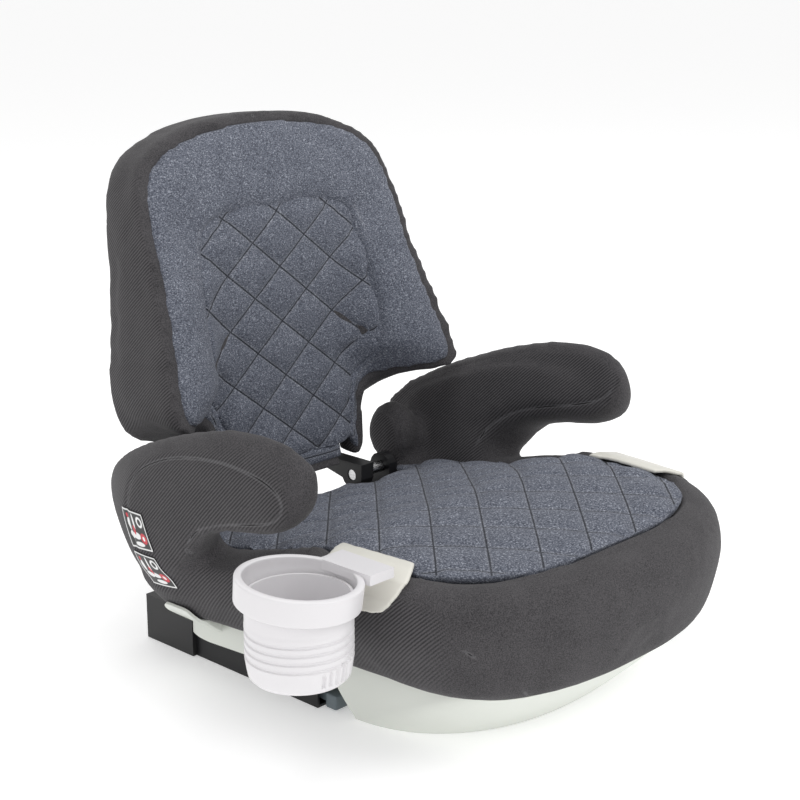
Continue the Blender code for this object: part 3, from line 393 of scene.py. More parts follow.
def twillGroup():
    # Woven twill: diagonal ribs over a finer noise grain, each broken by a little noise.
    tree, given, out = newGroup("wovenTwill",
                                [("Vector", "Vector", None), ("Rib Scale", "Float", 190.0),
                                 ("Ribs", "Float", 0.0), ("Dark", "Color", None), ("Light", "Color", None)],
                                [("Color", "Color"), ("Height", "Float")])
    g = Graph(tree)
    upright = g.add("ShaderNodeMapping", None, Vector=given["Vector"], Scale=(0.0, 1.0, 1.0)).outputs[0]
    ribs = g.add("ShaderNodeTexWave", {"wave_type": "BANDS", "bands_direction": "DIAGONAL"}, Vector=upright,
                 Scale=given["Rib Scale"], Distortion=0.5, Detail=1.0, Detail_Scale=2.0).outputs["Fac"]
    grain = g.noise(given["Vector"], 1100.0, 2.0, 0.6)
    height = g.add("ShaderNodeMix", {"data_type": "FLOAT"}, i0=g.sum("MULTIPLY", given["Ribs"], 0.45),
                   i2=grain, i3=ribs).outputs[0]
    cloud = g.noise(given["Vector"], 30.0, 3.0)
    shade = g.sum("ADD", height, g.sum("MULTIPLY", g.sum("SUBTRACT", cloud, 0.5), 0.2))
    tree.links.new(g.blend(g.ramp(shade, 0.2, 0.8), given["Dark"], given["Light"]), out.inputs["Color"])
    tree.links.new(height, out.inputs["Height"])
    return tree


def seamShadeGroup():
    # A sewn line from the distance to it: painted shade darkens the crease in the middle, and a faint painted
    # highlight lightens the roll beside it.
    tree, given, out = newGroup("seamShadeAndHighlight",
                                [("Color", "Color", None), ("Distance", "Float", 1.0),
                                 ("Line Width", "Float", 0.0009), ("Line Dark", "Float", 0.3),
                                 ("Roll Highlight", "Float", 0.06)],
                                [("Color", "Color"), ("Height", "Float")])
    g = Graph(tree)
    line = g.ramp(given["Distance"], g.sum("MULTIPLY", given["Line Width"], 0.4), given["Line Width"], 1.0,
                  0.0)
    rollOut = g.ramp(given["Distance"], given["Line Width"], g.sum("MULTIPLY", given["Line Width"], 3.0), 1.0,
                     0.0)
    roll = g.sum("SUBTRACT", rollOut, line, clamp=True)
    # Painted shade: the middle of the line is darkened towards black, as the seam's crease would be shaded.
    creaseShaded = g.blend(g.sum("MULTIPLY", line, g.sum("SUBTRACT", 1.0, given["Line Dark"])), given["Color"],
                     (0.0, 0.0, 0.0, 1.0))
    # Painted highlight: the roll beside the line is lightened faintly towards a pale grey.
    rollHighlighted = g.blend(g.sum("MULTIPLY", roll, given["Roll Highlight"]), creaseShaded, (0.75, 0.75, 0.78, 1.0))
    tree.links.new(rollHighlighted, out.inputs["Color"])
    tree.links.new(g.sum("SUBTRACT", 1.0, line), out.inputs["Height"])
    return tree


def mouldGroup():
    # Moulded plastic: a fine even grain, faint cloudy tone, and worn, slightly glossier patches.
    tree, given, out = newGroup("mouldedSkin",
                                [("Vector", "Vector", None), ("Color", "Color", None),
                                 ("Tone", "Float", 0.03), ("Roughness", "Float", 0.4),
                                 ("Grain Scale", "Float", 900.0)],
                                [("Color", "Color"), ("Roughness", "Float"), ("Height", "Float")])
    g = Graph(tree)
    cloud = g.noise(given["Vector"], 14.0, 4.0)
    grain = g.noise(given["Vector"], given["Grain Scale"], 2.0)
    shade = g.sum("MULTIPLY", g.sum("SUBTRACT", cloud, 0.5), given["Tone"])
    bright = g.sum("ADD", 1.0, shade)
    tint = g.add("ShaderNodeCombineColor", None, Red=bright, Green=bright, Blue=bright).outputs[0]
    tree.links.new(g.blend(1.0, given["Color"], tint, "MULTIPLY"), out.inputs["Color"])
    tree.links.new(g.sum("ADD", given["Roughness"], g.sum("MULTIPLY", g.sum("SUBTRACT", cloud, 0.5), 0.12)),
                   out.inputs["Roughness"])
    tree.links.new(grain, out.inputs["Height"])
    return tree


def quiltGroup():
    # Distance to the quilting: two families of straight lines, along = offset +- steep * across, one pitch
    # apart. The distance is |((along -+ steep * across - offset) mod pitch) - half a pitch|, over the slope's
    # length.
    tree, given, out = newGroup("quiltLines",
                                [("Vector", "Vector", None), ("Mask", "Float", 1.0),
                                 ("Upright", "Float", 0.0), ("Offset", "Float", 0.003),
                                 ("Pitch", "Float", 0.057), ("Steep", "Float", 1.0)],
                                [("Distance", "Float")])
    g = Graph(tree)
    split = g.add("ShaderNodeSeparateXYZ", None, Vector=given["Vector"])
    along = g.add("ShaderNodeMix", {"data_type": "FLOAT"}, i0=given["Upright"], i2=split.outputs[1],
                  i3=split.outputs[2]).outputs[0]
    start = g.sum("ADD", g.sum("SUBTRACT", along, given["Offset"]), g.sum("MULTIPLY", given["Pitch"], 40.5))
    leaning = g.sum("MULTIPLY", split.outputs[0], given["Steep"])
    slope = g.sum("SQRT", g.sum("ADD", g.sum("MULTIPLY", given["Steep"], given["Steep"]), 1.0))
    near = []
    for how in ("ADD", "SUBTRACT"):
        rest = g.sum("MODULO", g.sum(how, start, leaning), given["Pitch"])
        near.append(g.sum("ABSOLUTE", g.sum("SUBTRACT", rest, g.sum("MULTIPLY", given["Pitch"], 0.5))))
    nearest = g.sum("DIVIDE", g.sum("MINIMUM", near[0], near[1]), slope)
    off = g.ramp(given["Mask"], 0.3, 0.6, 0.02, 0.0)
    tree.links.new(g.sum("ADD", nearest, off), out.inputs["Distance"])
    return tree


groups = {"speckle": speckleGroup(), "twill": twillGroup(), "seam": seamShadeGroup(), "mould": mouldGroup(),
          "quilt": quiltGroup()}


def newMaterial(name, **sockets):
    # A material with its Principled shader, whose fixed values are set on the shader's own sockets.
    made = bpy.data.materials.new(name)
    made.use_nodes = True
    g = Graph(made.node_tree)
    shader = made.node_tree.nodes["Principled BSDF"]
    for socket, value in sockets.items():
        shader.inputs[socket.replace("_", " ")].default_value = value
    return made, g, shader


def bumped(g, shader, height, strength, distance):
    bump = g.add("ShaderNodeBump", None, Height=height, Strength=strength, Distance=distance)
    g.put(shader, "Normal", bump.outputs[0])


def fabricMaterial(name, group, colours, scaleName, scale, bumpDepth, lineWidth, quilting=None):
    made, g, shader = newMaterial(name, Roughness=0.92, Specular_IOR_Level=0.2, Sheen_Weight=0.08,
                                  Sheen_Roughness=0.5)
    vector = g.add("ShaderNodeTexCoord").outputs["Object"]
    cloth = g.add("ShaderNodeGroup", {"node_tree": groups[group]}, Vector=vector, **{scaleName: scale},
                  **colours)
    if group == "twill":
        g.put(cloth, "Ribs", g.attribute("ribs"))
    away = g.add("ShaderNodeAttribute", {"attribute_name": "seamAway"}).outputs["Vector"]
    length = g.add("ShaderNodeVectorMath", {"operation": "LENGTH"}, i0=away).outputs["Value"]
    far = g.sum("SUBTRACT", 1.0, g.attribute("seamNear"))
    distance = g.sum("ADD", length, g.sum("MULTIPLY", far, 0.02))
    if quilting:
        lines = g.add("ShaderNodeGroup", {"node_tree": groups["quilt"]}, Vector=vector,
                      Mask=g.attribute("quilted"), **quilting)
        distance = lines.outputs["Distance"]
    # Seams and quilting lines get painted shade in their creases and a faint painted highlight on the rolls
    # beside them.
    seamShadeAndHighlight = g.add("ShaderNodeGroup", {"node_tree": groups["seam"]}, Color=cloth.outputs["Color"],
                     Distance=distance, Line_Width=lineWidth)
    g.put(shader, "Base Color", seamShadeAndHighlight.outputs["Color"])
    height = g.sum("ADD", cloth.outputs["Height"], seamShadeAndHighlight.outputs["Height"])
    bumped(g, shader, height, 0.7, bumpDepth)
    return made


def mouldedMaterial(name, colour, roughness, tone=0.03, grain=900.0, bumpDepth=0.00004, **sockets):
    made, g, shader = newMaterial(name, **sockets)
    vector = g.add("ShaderNodeTexCoord").outputs["Object"]
    skin = g.add("ShaderNodeGroup", {"node_tree": groups["mould"]}, Vector=vector, Color=colour, Tone=tone,
                 Roughness=roughness, Grain_Scale=grain)
    g.put(shader, "Base Color", skin.outputs["Color"])
    g.put(shader, "Roughness", skin.outputs["Roughness"])
    bumped(g, shader, skin.outputs["Height"], 0.5, bumpDepth)
    return made


def metalMaterial(name, colour, roughness):
    # Plated steel, with fine brushed streaks along Y.
    made, g, shader = newMaterial(name, Metallic=1.0)
    vector = g.add("ShaderNodeTexCoord").outputs["Object"]
    streaks = g.noise(g.add("ShaderNodeMapping", None, Vector=vector, Scale=(1.0, 0.06, 1.0)).outputs[0],
                      700.0, 2.0)
    shader.inputs["Base Color"].default_value = colour
    g.put(shader, "Roughness", g.ramp(streaks, 0.3, 0.7, roughness - 0.06, roughness + 0.08))
    bumped(g, shader, streaks, 0.3, 0.00003)
    return made


melangeTones = {"Dark": linear(58, 61, 71), "Middle": linear(98, 102, 113), "Light": linear(168, 172, 182)}
finishes = {
    "melange": fabricMaterial("melangeCloth", "speckle", melangeTones, "Fleck_Scale", 900.0, 0.0004, 0.0009),
    "seatQuilt": fabricMaterial("melangeSeatQuilt", "speckle", melangeTones, "Fleck_Scale", 900.0, 0.0004,
                                0.0010, {"Offset": 0.003, "Pitch": 0.057, "Steep": 1.0, "Upright": 0.0}),
    "backQuilt": fabricMaterial("melangeBackQuilt", "speckle", melangeTones, "Fleck_Scale", 900.0, 0.0004,
                                0.0010, {"Offset": 0.307, "Pitch": 0.049, "Steep": 0.8, "Upright": 1.0}),
    "twill": fabricMaterial("charcoalTwill", "twill",
                            {"Dark": linear(44, 43, 45), "Light": linear(86, 84, 86)},
                            "Rib_Scale", 190.0, 0.00035, 0.0008),
    "shell": mouldedMaterial("shellWhite", linear(218, 221, 214), 0.36, Specular_IOR_Level=0.5),
    "guide": mouldedMaterial("guideCream", linear(220, 218, 209), 0.34, Specular_IOR_Level=0.5),
    "cup": mouldedMaterial("cupWhite", linear(222, 220, 222), 0.32, Specular_IOR_Level=0.5),
    "black": mouldedMaterial("blackPlastic", linear(26, 26, 27), 0.5, tone=0.2, bumpDepth=0.00008),
    "gloss": mouldedMaterial("glossBlack", linear(12, 12, 13), 0.12, tone=0.1, bumpDepth=0.00001,
                             Coat_Weight=0.4),
    "blackSteel": mouldedMaterial("blackSteel", linear(30, 30, 32), 0.38, tone=0.15, grain=500.0,
                                  Metallic=0.4),
    "steel": metalMaterial("platedSteel", (0.62, 0.62, 0.63, 1.0), 0.26),
    "knob": mouldedMaterial("knobGrey", linear(95, 105, 110), 0.5, tone=0.1),
}


def finished(piece, finish, body=None, nodes=()):
    piece.data.materials.clear()
    piece.data.materials.append(finishes[finish])
    if body:
        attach(piece, body)
    if nodes:
        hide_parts(*nodes)
    return piece


# The seat's cover and both armrests are one charcoal cover. Sizes here and below are in millimetres.
seatCover = {
    "shellTop": 50.3, "halfWidth": 204.0, "rear": 205.0, "front": 231.0, "frontHalfWidth": 186.0,
    "rearShoulder": 95.0, "rearPower": 2.5, "cushionThickness": 14.0,
    # share of height, insets of side, rear and front side, front corner's start, front inset, squareness
    "levels": ((0.00, 42, 24, 46, -150, 17, 2.4), (0.08, 22, 11, 22, -112, 7, 2.5),
               (0.33, 10, 4, 8, -100, 2, 2.6), (0.62, 1, 0, 0, -100, 0, 2.6), (0.84, 0, 0, 1, -98, 3, 2.6),
               (0.96, 10, 5, 9, -93, 15, 2.8), (1.00, 44, 18, 23, -87, 33, 3.0)),
    "edgeHeight": ((-200, 141), (-130, 146), (-60, 146), (0, 130), (50, 116), (100, 108), (180, 94)),
    "topHeight": ((-200, 141), (-150, 149), (-70, 150), (0, 135), (70, 121), (134, 106), (180, 94)),
    "frontSeam": ((168, -160, 116), (160, -180, 102), (146, -200, 84), (124, -205, 66), (104, -200, 48)),
    "rootSeam": ((206, 66, 133), (209, 55, 121), (208, 40, 114), (205, 24, 112), (201, 4, 112)),
    "slimmer": 0.0, "voxel": 5.0, "swell": 4.0, "seamDepth": 1.3, "seamWidth": 2.4,
}
levelTable = np.array(seatCover["levels"])
edgeTable = np.array(seatCover["edgeHeight"], float)
topTable = np.array(seatCover["topHeight"], float)


def planOutline(side, rear, frontSide, frontShoulder, front, frontPower, arc=34, straight=30):
    # Outline in plan, once round: a superellipse rear, a straight tapering side and a superellipse front,
    # x = side * sin(t)^(2/p), y = shoulder + reach * cos(t)^(2/p), mirrored about x = 0.
    column = [np.atleast_1d(np.asarray(value, float))[:, None] for value in
              (side, rear, frontSide, frontShoulder, front, frontPower)]
    side, rear, frontSide, frontShoulder, front, frontPower = column
    t = np.linspace(0, pi / 2, arc)[None, :]
    power = seatCover["rearPower"]
    shoulder = seatCover["rearShoulder"]
    rearX = side * np.sin(t) ** (2 / power)
    rearY = shoulder + (rear - shoulder) * np.abs(np.cos(t)) ** (2 / power)
    frontX = frontSide * np.abs(np.cos(t)) ** (2 / frontPower)
    frontY = frontShoulder - (front + frontShoulder) * np.sin(t) ** (2 / frontPower)
    s = np.linspace(0, 1, straight)[None, 1:-1]
    x = np.hstack((rearX, side + (frontSide - side) * s, frontX))
    y = np.hstack((rearY, shoulder + (frontShoulder - shoulder) * s, frontY))
    return np.hstack((x, -x[:, -2:0:-1])), np.hstack((y, y[:, -2:0:-1]))


def seatRings(share, inset=0.0):
    # Rings of the seat body at shares of the seam's height: z = bottom + share * (seam height at y - bottom).
    share = np.atleast_1d(share)
    side, rear, frontSide, shoulder, front, power = smoothTable(levelTable[:, 0], levelTable[:, 1:], share).T
    x, y = planOutline(seatCover["halfWidth"] - side - inset, seatCover["rear"] - rear - inset,
                       seatCover["frontHalfWidth"] - frontSide - inset, shoulder,
                       seatCover["front"] - front - inset, power)
    bottom = seatCover["shellTop"]
    z = bottom + share[:, None] * (smoothTable(edgeTable[:, 0], edgeTable[:, 1], y) - bottom)
    return np.stack((x, y, z), axis=-1)


def panelRings(share, drop=0.0, inset=0.0):
    # Rings of the top panel, from its seam (share 1) to its middle: the height goes from the middle line's to
    # the seam's with the cube of the share.
    share = np.atleast_1d(share)[:, None]
    ring = seatRings(1.0, inset)[0]
    x = ring[None, :, 0] * share
    y = -10 + (ring[None, :, 1] + 10) * share
    crown = smoothTable(topTable[:, 0], topTable[:, 1], y)
    edge = smoothTable(edgeTable[:, 0], edgeTable[:, 1], ring[None, :, 1])
    return np.stack((x, y, crown + (edge - crown) * share ** 3 - drop), axis=-1)


def seatBody():
    slim = seatCover["slimmer"]
    outer = seatRings(np.linspace(0, 1, 34) ** 0.9, slim)
    lid = panelRings([0.97, 0.8, 0.5, 0.2], seatCover["cushionThickness"], slim)
    floor = seatRings(0.0, slim)[0]
    floors = np.stack([floor * (share, share, 1) for share in (0.15, 0.5, 0.85)])
    return surface("seatBody", np.vstack((floors, outer, lid)) * mm)


armrest = {
    "outerSeam": ((113, 106), (124, 126), (129, 150), (120, 173), (98, 189), (60, 202), (10, 208), (-33, 203),
                  (-49, 190), (-35, 175), (14, 163), (44, 151), (60, 134), (72, 116), (84, 110)),
    "innerSeam": ((192, 100), (207, 118), (209, 140), (184, 165), (124, 190), (60, 213), (15, 225),
                  (-29, 228), (-55, 214), (-42, 192), (20, 174), (52, 162), (76, 145), (87, 126), (98, 110)),
    "outerX": 213.0, "innerX": 160.0, "flare": 0.24, "flareFrom": 120.0, "crown": 12.0, "points": 110,
    "slimmer": -2.0,
    "rootCentre": (140.0, 172.0, 126.0), "rootRadii": (23.0, 25.0, 30.0),
}


def armGrid(side):
    # Rings from the outer seam to the inner one: each outline lies between the two and is grown by
    # crown * (4 s (1 - s))^0.6, and x runs from the outer face to an inner face that leans out with height.
    outer = smoothLine(armrest["outerSeam"], armrest["points"])
    inner = smoothLine(armrest["innerSeam"], armrest["points"])
    rings = []
    for share in (1 - np.cos(np.linspace(0, pi, 22))) / 2:
        outline = grown(outer + (inner - outer) * share,
                        armrest["crown"] * (4 * share * (1 - share)) ** 0.6 - armrest["slimmer"])
        flare = armrest["innerX"] + armrest["flare"] * (outline[:, 1] - armrest["flareFrom"])
        x = side * (armrest["outerX"] + (flare - armrest["outerX"]) * share)
        rings.append(np.stack((x, outline[:, 0], outline[:, 1]), axis=1))
    return np.array(rings)


def rootGrid(side):
    # The stuffed root behind each armrest: an ellipsoid that the cover runs over.
    up, turn = np.meshgrid(np.linspace(0.08, pi - 0.08, 18), np.linspace(0, 2 * pi, 36, endpoint=False),
                           indexing="ij")
    shape = np.stack((np.sin(up) * np.cos(turn), np.sin(up) * np.sin(turn), np.cos(up)), axis=-1)
    centre = np.array(armrest["rootCentre"]) * (side, 1, 1)
    return centre + shape * np.array(armrest["rootRadii"])


def armSeam(side, share):
    # The seam line on the outer (share 0) or inner (share 1) side of an armrest, in metres.
    return armGrid(side)[0 if share == 0 else -1] * mm


# Room for the hinge brackets and the backrest's foot, as opposite corners in metres.
hingeRooms = (((-0.122, 0.134, 0.072), (-0.058, 0.26, 0.2)), ((-0.059, 0.152, 0.072), (0.059, 0.26, 0.2)),
              ((0.058, 0.134, 0.072), (0.122, 0.26, 0.2)))


def awayFromGuides(at):
    # 0 under the belt guides, rising to 1 about a centimetre beyond them.
    share = np.ones(len(at))
    for name in ("belt_guide_left", "belt_guide_right"):
        low, high = (np.array(corner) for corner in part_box(name))
        outside = np.linalg.norm(np.maximum(np.maximum(low - at, at - high), 0), axis=1)
        share *= ease((outside - 0.002) / 0.009)
    return share


def buildSeatCover():
    body = seatBody()
    arms = [surface(f"arm{side}", armGrid(side) * mm) for side in (-1, 1)]
    arms += [surface(f"root{side}", rootGrid(side) * mm) for side in (-1, 1)]
    cover = joined("seatCoverCharcoal", [body] + arms)
    evened(cover, seatCover["voxel"] * mm)
    bottom = seatCover["shellTop"] * mm
    place = placeOf(cover)
    # The crease behind each armrest, where its root meets the side, is relaxed into a smooth valley.
    crease = ease(1 - np.abs(place[:, 2] - 0.110) / 0.022) * ease((np.abs(place[:, 0]) - 0.165) / 0.015)
    crease *= ease((place[:, 1] - 0.055) / 0.02)
    relax(cover, 14, 0.6 * crease)
    for low, high in hingeRooms:
        combine(cover, blockOf(low, high))

    def hold(at):
        pocket = (np.abs(at[:, 0]) < 0.13) & (at[:, 1] > 0.125)
        return ease((at[:, 2] - bottom) / 0.02) * np.where(pocket, 0.1, 1.0) * awayFromGuides(at)

    stuffed(cover, seatCover["voxel"] * mm, seatCover["swell"] * mm, hold)
    seams = []
    for side in (-1, 1):
        for name, count in (("frontSeam", 30), ("rootSeam", 20)):
            knots = [(side * x, y, z) for x, y, z in seatCover[name]]
            seams.append(smoothLine(knots, count, closed=False) * mm)
        for share in (0, 1):
            outline = armSeam(side, share)
            lowest = np.argmin(outline[:, 2])
            outline = np.roll(outline, -lowest, axis=0)
            seams.append(outline[outline[:, 2] > 0.113])
    sewn(cover, seams, seatCover["seamDepth"] * mm, seatCover["seamWidth"] * mm)
    ribs = ease((np.abs(normalOf(cover)[:, 0]) - 0.75) / 0.2)
    note(cover, "ribs", ribs)
    finished(cover, "twill", "seat",
             ["seat_side_cover", "armrest_cover_left", "armrest_cover_right", "seat_foam"])
    print("seat cover and armrests done")
    return cover


# The seat's quilted top pad.
seatPad = {"inset": 2.0, "thickness": 13.0, "voxel": 4.5, "swell": 3.5, "pitch": 57.0, "offset": 3.0,
           "channelDepth": 4.5, "channelWidth": 6.0, "crown": 2.0}


def quiltDistance(first, second, pitch, steep):
    # Distance to each of two families of straight lines, second = offset +- steep * first, pitch apart.
    slope = np.hypot(1.0, steep)
    near = [np.abs((second + side * steep * first + pitch / 2) % pitch - pitch / 2) / slope
            for side in (-1, 1)]
    return near[0], near[1]


def channelled(piece, near, depth, width, where):
    # Quilted channels: each family of lines pulls the cloth in by depth * exp(-distance / width).
    valley = depth * (np.exp(-near[0] / width) + np.exp(-near[1] / width)
                      - np.exp(-(near[0] + near[1]) / width))
    moveTo(piece, placeOf(piece) - normalOf(piece) * (valley * where)[:, None])


def buildSeatPad():
    inset = seatPad["inset"]
    under = panelRings([0.25, 0.6, 0.93], seatPad["thickness"], inset)
    over = panelRings(np.linspace(0.995, 0.1, 20), -seatPad["crown"], inset)
    rim = panelRings([0.985], 6, inset - 0.5)
    pad = surface("seatPadMelange", np.vstack((under, rim, over)) * mm)
    evened(pad, seatPad["voxel"] * mm)
    for low, high in hingeRooms:
        combine(pad, blockOf(low, high))
    stuffed(pad, seatPad["voxel"] * mm, seatPad["swell"] * mm,
            lambda at: np.where(at[:, 1] > 0.13, 0.15, 1.0) * awayFromGuides(at))
    place = placeOf(pad)
    top = ease((normalOf(pad)[:, 2] - 0.2) / 0.5)
    pitch = seatPad["pitch"] * mm
    near = quiltDistance(place[:, 0], place[:, 1] - seatPad["offset"] * mm, pitch, 1.0)
    channelled(pad, near, seatPad["channelDepth"] * mm, seatPad["channelWidth"] * mm, top)
    note(pad, "quilted", top)
    finished(pad, "seatQuilt", "seat", ["seat_cushion"])
    print("seat pad done")
    return pad


# The backrest: charcoal side band, melange border and quilted panel.
backrest = {
    "front": ((0, 437), (62, 433), (110, 420), (137, 399), (147, 366), (151, 317), (160, 257), (166, 220),
              (160, 203), (128, 192), (98, 180), (90, 155), (88, 128), (74, 118), (0, 118)),
    "back": ((0, 435), (61, 430), (107, 417), (132, 396), (143, 364), (148, 316), (155, 257), (162, 215),
             (159, 182), (130, 168), (106, 159), (99, 146), (95, 131), (79, 120), (0, 120)),
    "quilt": ((0, 367), (50, 366), (84, 354), (97, 326), (102, 290), (105, 250), (101, 215), (84, 186),
              (76, 152), (66, 134), (0, 133)),
    "middleDepth": ((100, 156), (180, 168), (230, 174), (300, 177), (345, 179), (380, 184), (437, 205)),
    "backDepth": ((96, 186), (150, 196), (178, 205), (200, 216), (240, 227), (310, 236), (352, 241),
                  (437, 257)),
    "centreHeight": 270.0, "slimmer": -0.5, "voxel": 5.0, "swell": 3.0,
    "borderThickness": 13.0, "borderSwell": 3.2, "borderVoxel": 4.5,
    "quiltThickness": 7.0, "quiltSwell": 2.5, "quiltVoxel": 4.0, "quiltPitch": 49.0, "quiltSteep": 0.8,
    "quiltOffset": 307.0, "channelDepth": 4.2, "channelWidth": 5.5,
}


def mirroredOutline(half, count=220):
    half = np.array(half, float)
    return smoothLine(np.vstack((half, half[-2:0:-1] * (-1, 1))), count)


def backrestFront(x, z):
    # Depth of the front face: the middle lies behind the plane of the wings, y = 150 + 0.4 (z - 300), and
    # meets it along a smooth step that starts a little way out from the middle.
    middle = smoothTable(*np.array(backrest["middleDepth"], float).T, z)
    plane = 150 + 0.4 * (z - 300)
    narrow = np.interp(z, (185, 225), (98, 60))
    return middle + (plane - middle) * ease((np.abs(x) - narrow) / 85)


def backrestBack(z):
    return smoothTable(*np.array(backrest["backDepth"], float).T, z)


def backrestRing(outline, growth, depth, share=1.0):
    # An outline grown, shrunk to a share about the middle, and set at depth(x, z).
    shape = grown(outline, growth)
    centre = np.array((0, backrest["centreHeight"]))
    x, z = (centre + (shape - centre) * share).T
    return np.stack((x, depth(x, z), z), axis=1)


def earRooms(piece):
    # Room for the two hinge ears at the backrest's foot.
    for side in (-1, 1):
        low, high = sorted((side * 0.0594, side * 0.0766))
        combine(piece, blockOf((low, 0.13, 0.09), (high, 0.215, 0.1365)))


def buildBackrest():
    front = mirroredOutline(backrest["front"])
    back = mirroredOutline(backrest["back"])
    quilt = mirroredOutline(backrest["quilt"], 160)
    slim = backrest["slimmer"]

    def ahead(depth):
        return lambda x, z: backrestFront(x, z) + depth

    def behind(depth):
        return lambda x, z: backrestBack(z) - depth

    def mixed(share):
        return lambda x, z: backrestFront(x, z) * (1 - share) + backrestBack(z) * share

    inner = [backrestRing(front, -9 - slim, ahead(6), share) for share in (0.3, 0.6, 0.85, 1)]
    outer = [backrestRing(front, -4 - slim, ahead(2.5)), backrestRing(front, -slim, ahead(-0.5)),
             backrestRing(front, 2.5 - slim, ahead(1.5)), backrestRing(front, 3.5 - slim, ahead(8))]
    outer += [backrestRing(front + (back - front) * share, 2 - slim, mixed(share))
              for share in (0.35, 0.5, 0.65)]
    outer += [backrestRing(back, 1 - slim, behind(7)), backrestRing(back, -1.5 - slim, behind(2.5)),
              backrestRing(back, -5 - slim, behind(1.5))]
    rear = [backrestRing(back, -9, behind(6), share) for share in (1, 0.8, 0.5, 0.25)]
    band = surface("backrestBandCharcoal", np.array(inner + outer + rear) * mm)
    evened(band, backrest["voxel"] * mm)
    earRooms(band)
    stuffed(band, backrest["voxel"] * mm, backrest["swell"] * mm,
            lambda at: ease((at[:, 2] - 0.125) / 0.02) * np.where(np.abs(at[:, 0]) < 0.085, 0.3, 1.0))
    sewn(band, [np.array([(0.0, 0.19, 0.437), (0.0, 0.27, 0.437)]),
                closedLine(backrestRing(back, -2, behind(3)) * mm)], 1.2 * mm, 2.4 * mm)
    note(band, "ribs", ease((np.abs(normalOf(band)[:, 0]) - 0.75) / 0.2))
    finished(band, "twill", "backrest", ["backrest_side_cover", "backrest_foam"])

    thickness = backrest["borderThickness"]
    under = [backrestRing(front, -8 - slim, ahead(thickness), share) for share in (0.3, 0.6, 0.85, 1)]
    edge = [backrestRing(front, -4.5 - slim, ahead(thickness / 2)), backrestRing(front, -4 - slim, ahead(2))]
    face = [backrestRing(front, -5 - slim, ahead(-0.5), share) for share in
            (1, 0.95, 0.9, 0.8, 0.7, 0.6, 0.5, 0.35, 0.2)]
    border = surface("backrestBorderMelange", np.array(under + edge + face) * mm)
    evened(border, backrest["borderVoxel"] * mm)
    earRooms(border)
    recess = [backrestRing(quilt, 0.5, ahead(backrest["quiltThickness"]), share)
              for share in (0.3, 0.6, 0.85, 1)]
    recess += [backrestRing(quilt, 0.5, ahead(-12), share) for share in (1, 0.85, 0.6, 0.3)]
    combine(border, surface("recess", np.array(recess) * mm))
    stuffed(border, backrest["borderVoxel"] * mm, backrest["borderSwell"] * mm,
            lambda at: ease((at[:, 2] - 0.125) / 0.02))
    sewn(border, [closedLine(backrestRing(quilt, 3.5, ahead(0)) * mm)], 1.0 * mm, 3.0 * mm)
    finished(border, "melange", "backrest", ["backrest_cushion"])

    deep = backrest["quiltThickness"]
    low = [backrestRing(quilt, 1.5, ahead(deep), share) for share in (0.3, 0.6, 0.85, 1)]
    high = [backrestRing(quilt, 2, ahead(2.0)), backrestRing(quilt, 0.5, ahead(-1.0))]
    high += [backrestRing(quilt, -1, ahead(-1.5), share)
             for share in (0.97, 0.9, 0.8, 0.7, 0.6, 0.5, 0.35, 0.2)]
    panel = surface("backrestQuiltMelange", np.array(low + high) * mm)
    stuffed(panel, backrest["quiltVoxel"] * mm, backrest["quiltSwell"] * mm)
    place = placeOf(panel)
    facing = ease((-normalOf(panel)[:, 1] - 0.1) / 0.4)
    near = quiltDistance(place[:, 0], place[:, 2] - backrest["quiltOffset"] * mm, backrest["quiltPitch"] * mm,
                         backrest["quiltSteep"])
    channelled(panel, near, backrest["channelDepth"] * mm, backrest["channelWidth"] * mm, facing)
    note(panel, "quilted", facing)
    finished(panel, "backQuilt", "backrest", ["backrest_quilt"])
    print("backrest done")


# The white base shell.
base = {"halfWidth": 144.0, "front": 162.0, "rear": 165.0, "skirtHalfWidth": 160.0, "skirtBottom": 24.0,
        "skirtRear": 123.0, "wall": 3.0, "footRear": -57.0, "lean": 0.667, "top": 50.0, "shoulder": -50.0,
        "power": 2.25}


def baseRings(inset, low, high):
    # The foot's outline on the floor, lofted to the rim under the cover: a share s of the way up, bulging by
    # 4 s (1 - s) times two millimetres.
    rim = seatRings(0.0, base["wall"] + inset)[0]
    x, y = planOutline(base["skirtHalfWidth"] - inset, base["rear"] - inset, base["halfWidth"] - inset,
                       base["shoulder"], base["front"] - inset, base["power"])
    foot = np.stack((x[0], y[0], np.full_like(x[0], low)), axis=1)
    rim = np.stack((rim[:, 0], rim[:, 1], np.full(len(rim), high)), axis=1)
    share = np.linspace(0, 1, 14)[:, None, None]
    rings = foot + (rim - foot) * share
    outward = rings[:, :, :2] / np.maximum(np.linalg.norm(rings[:, :, :2], axis=2), 1)[:, :, None]
    rings[:, :, :2] += outward * 2.0 * 4 * share * (1 - share)
    return rings


def slabAlongX(name, outline, low, high):
    # An outline of (y, z) between two x planes.
    outline = np.array(outline, float)
    grid = np.stack([np.column_stack((np.full(len(outline), x), outline)) for x in (low, high)])
    return surface(name, grid * mm)


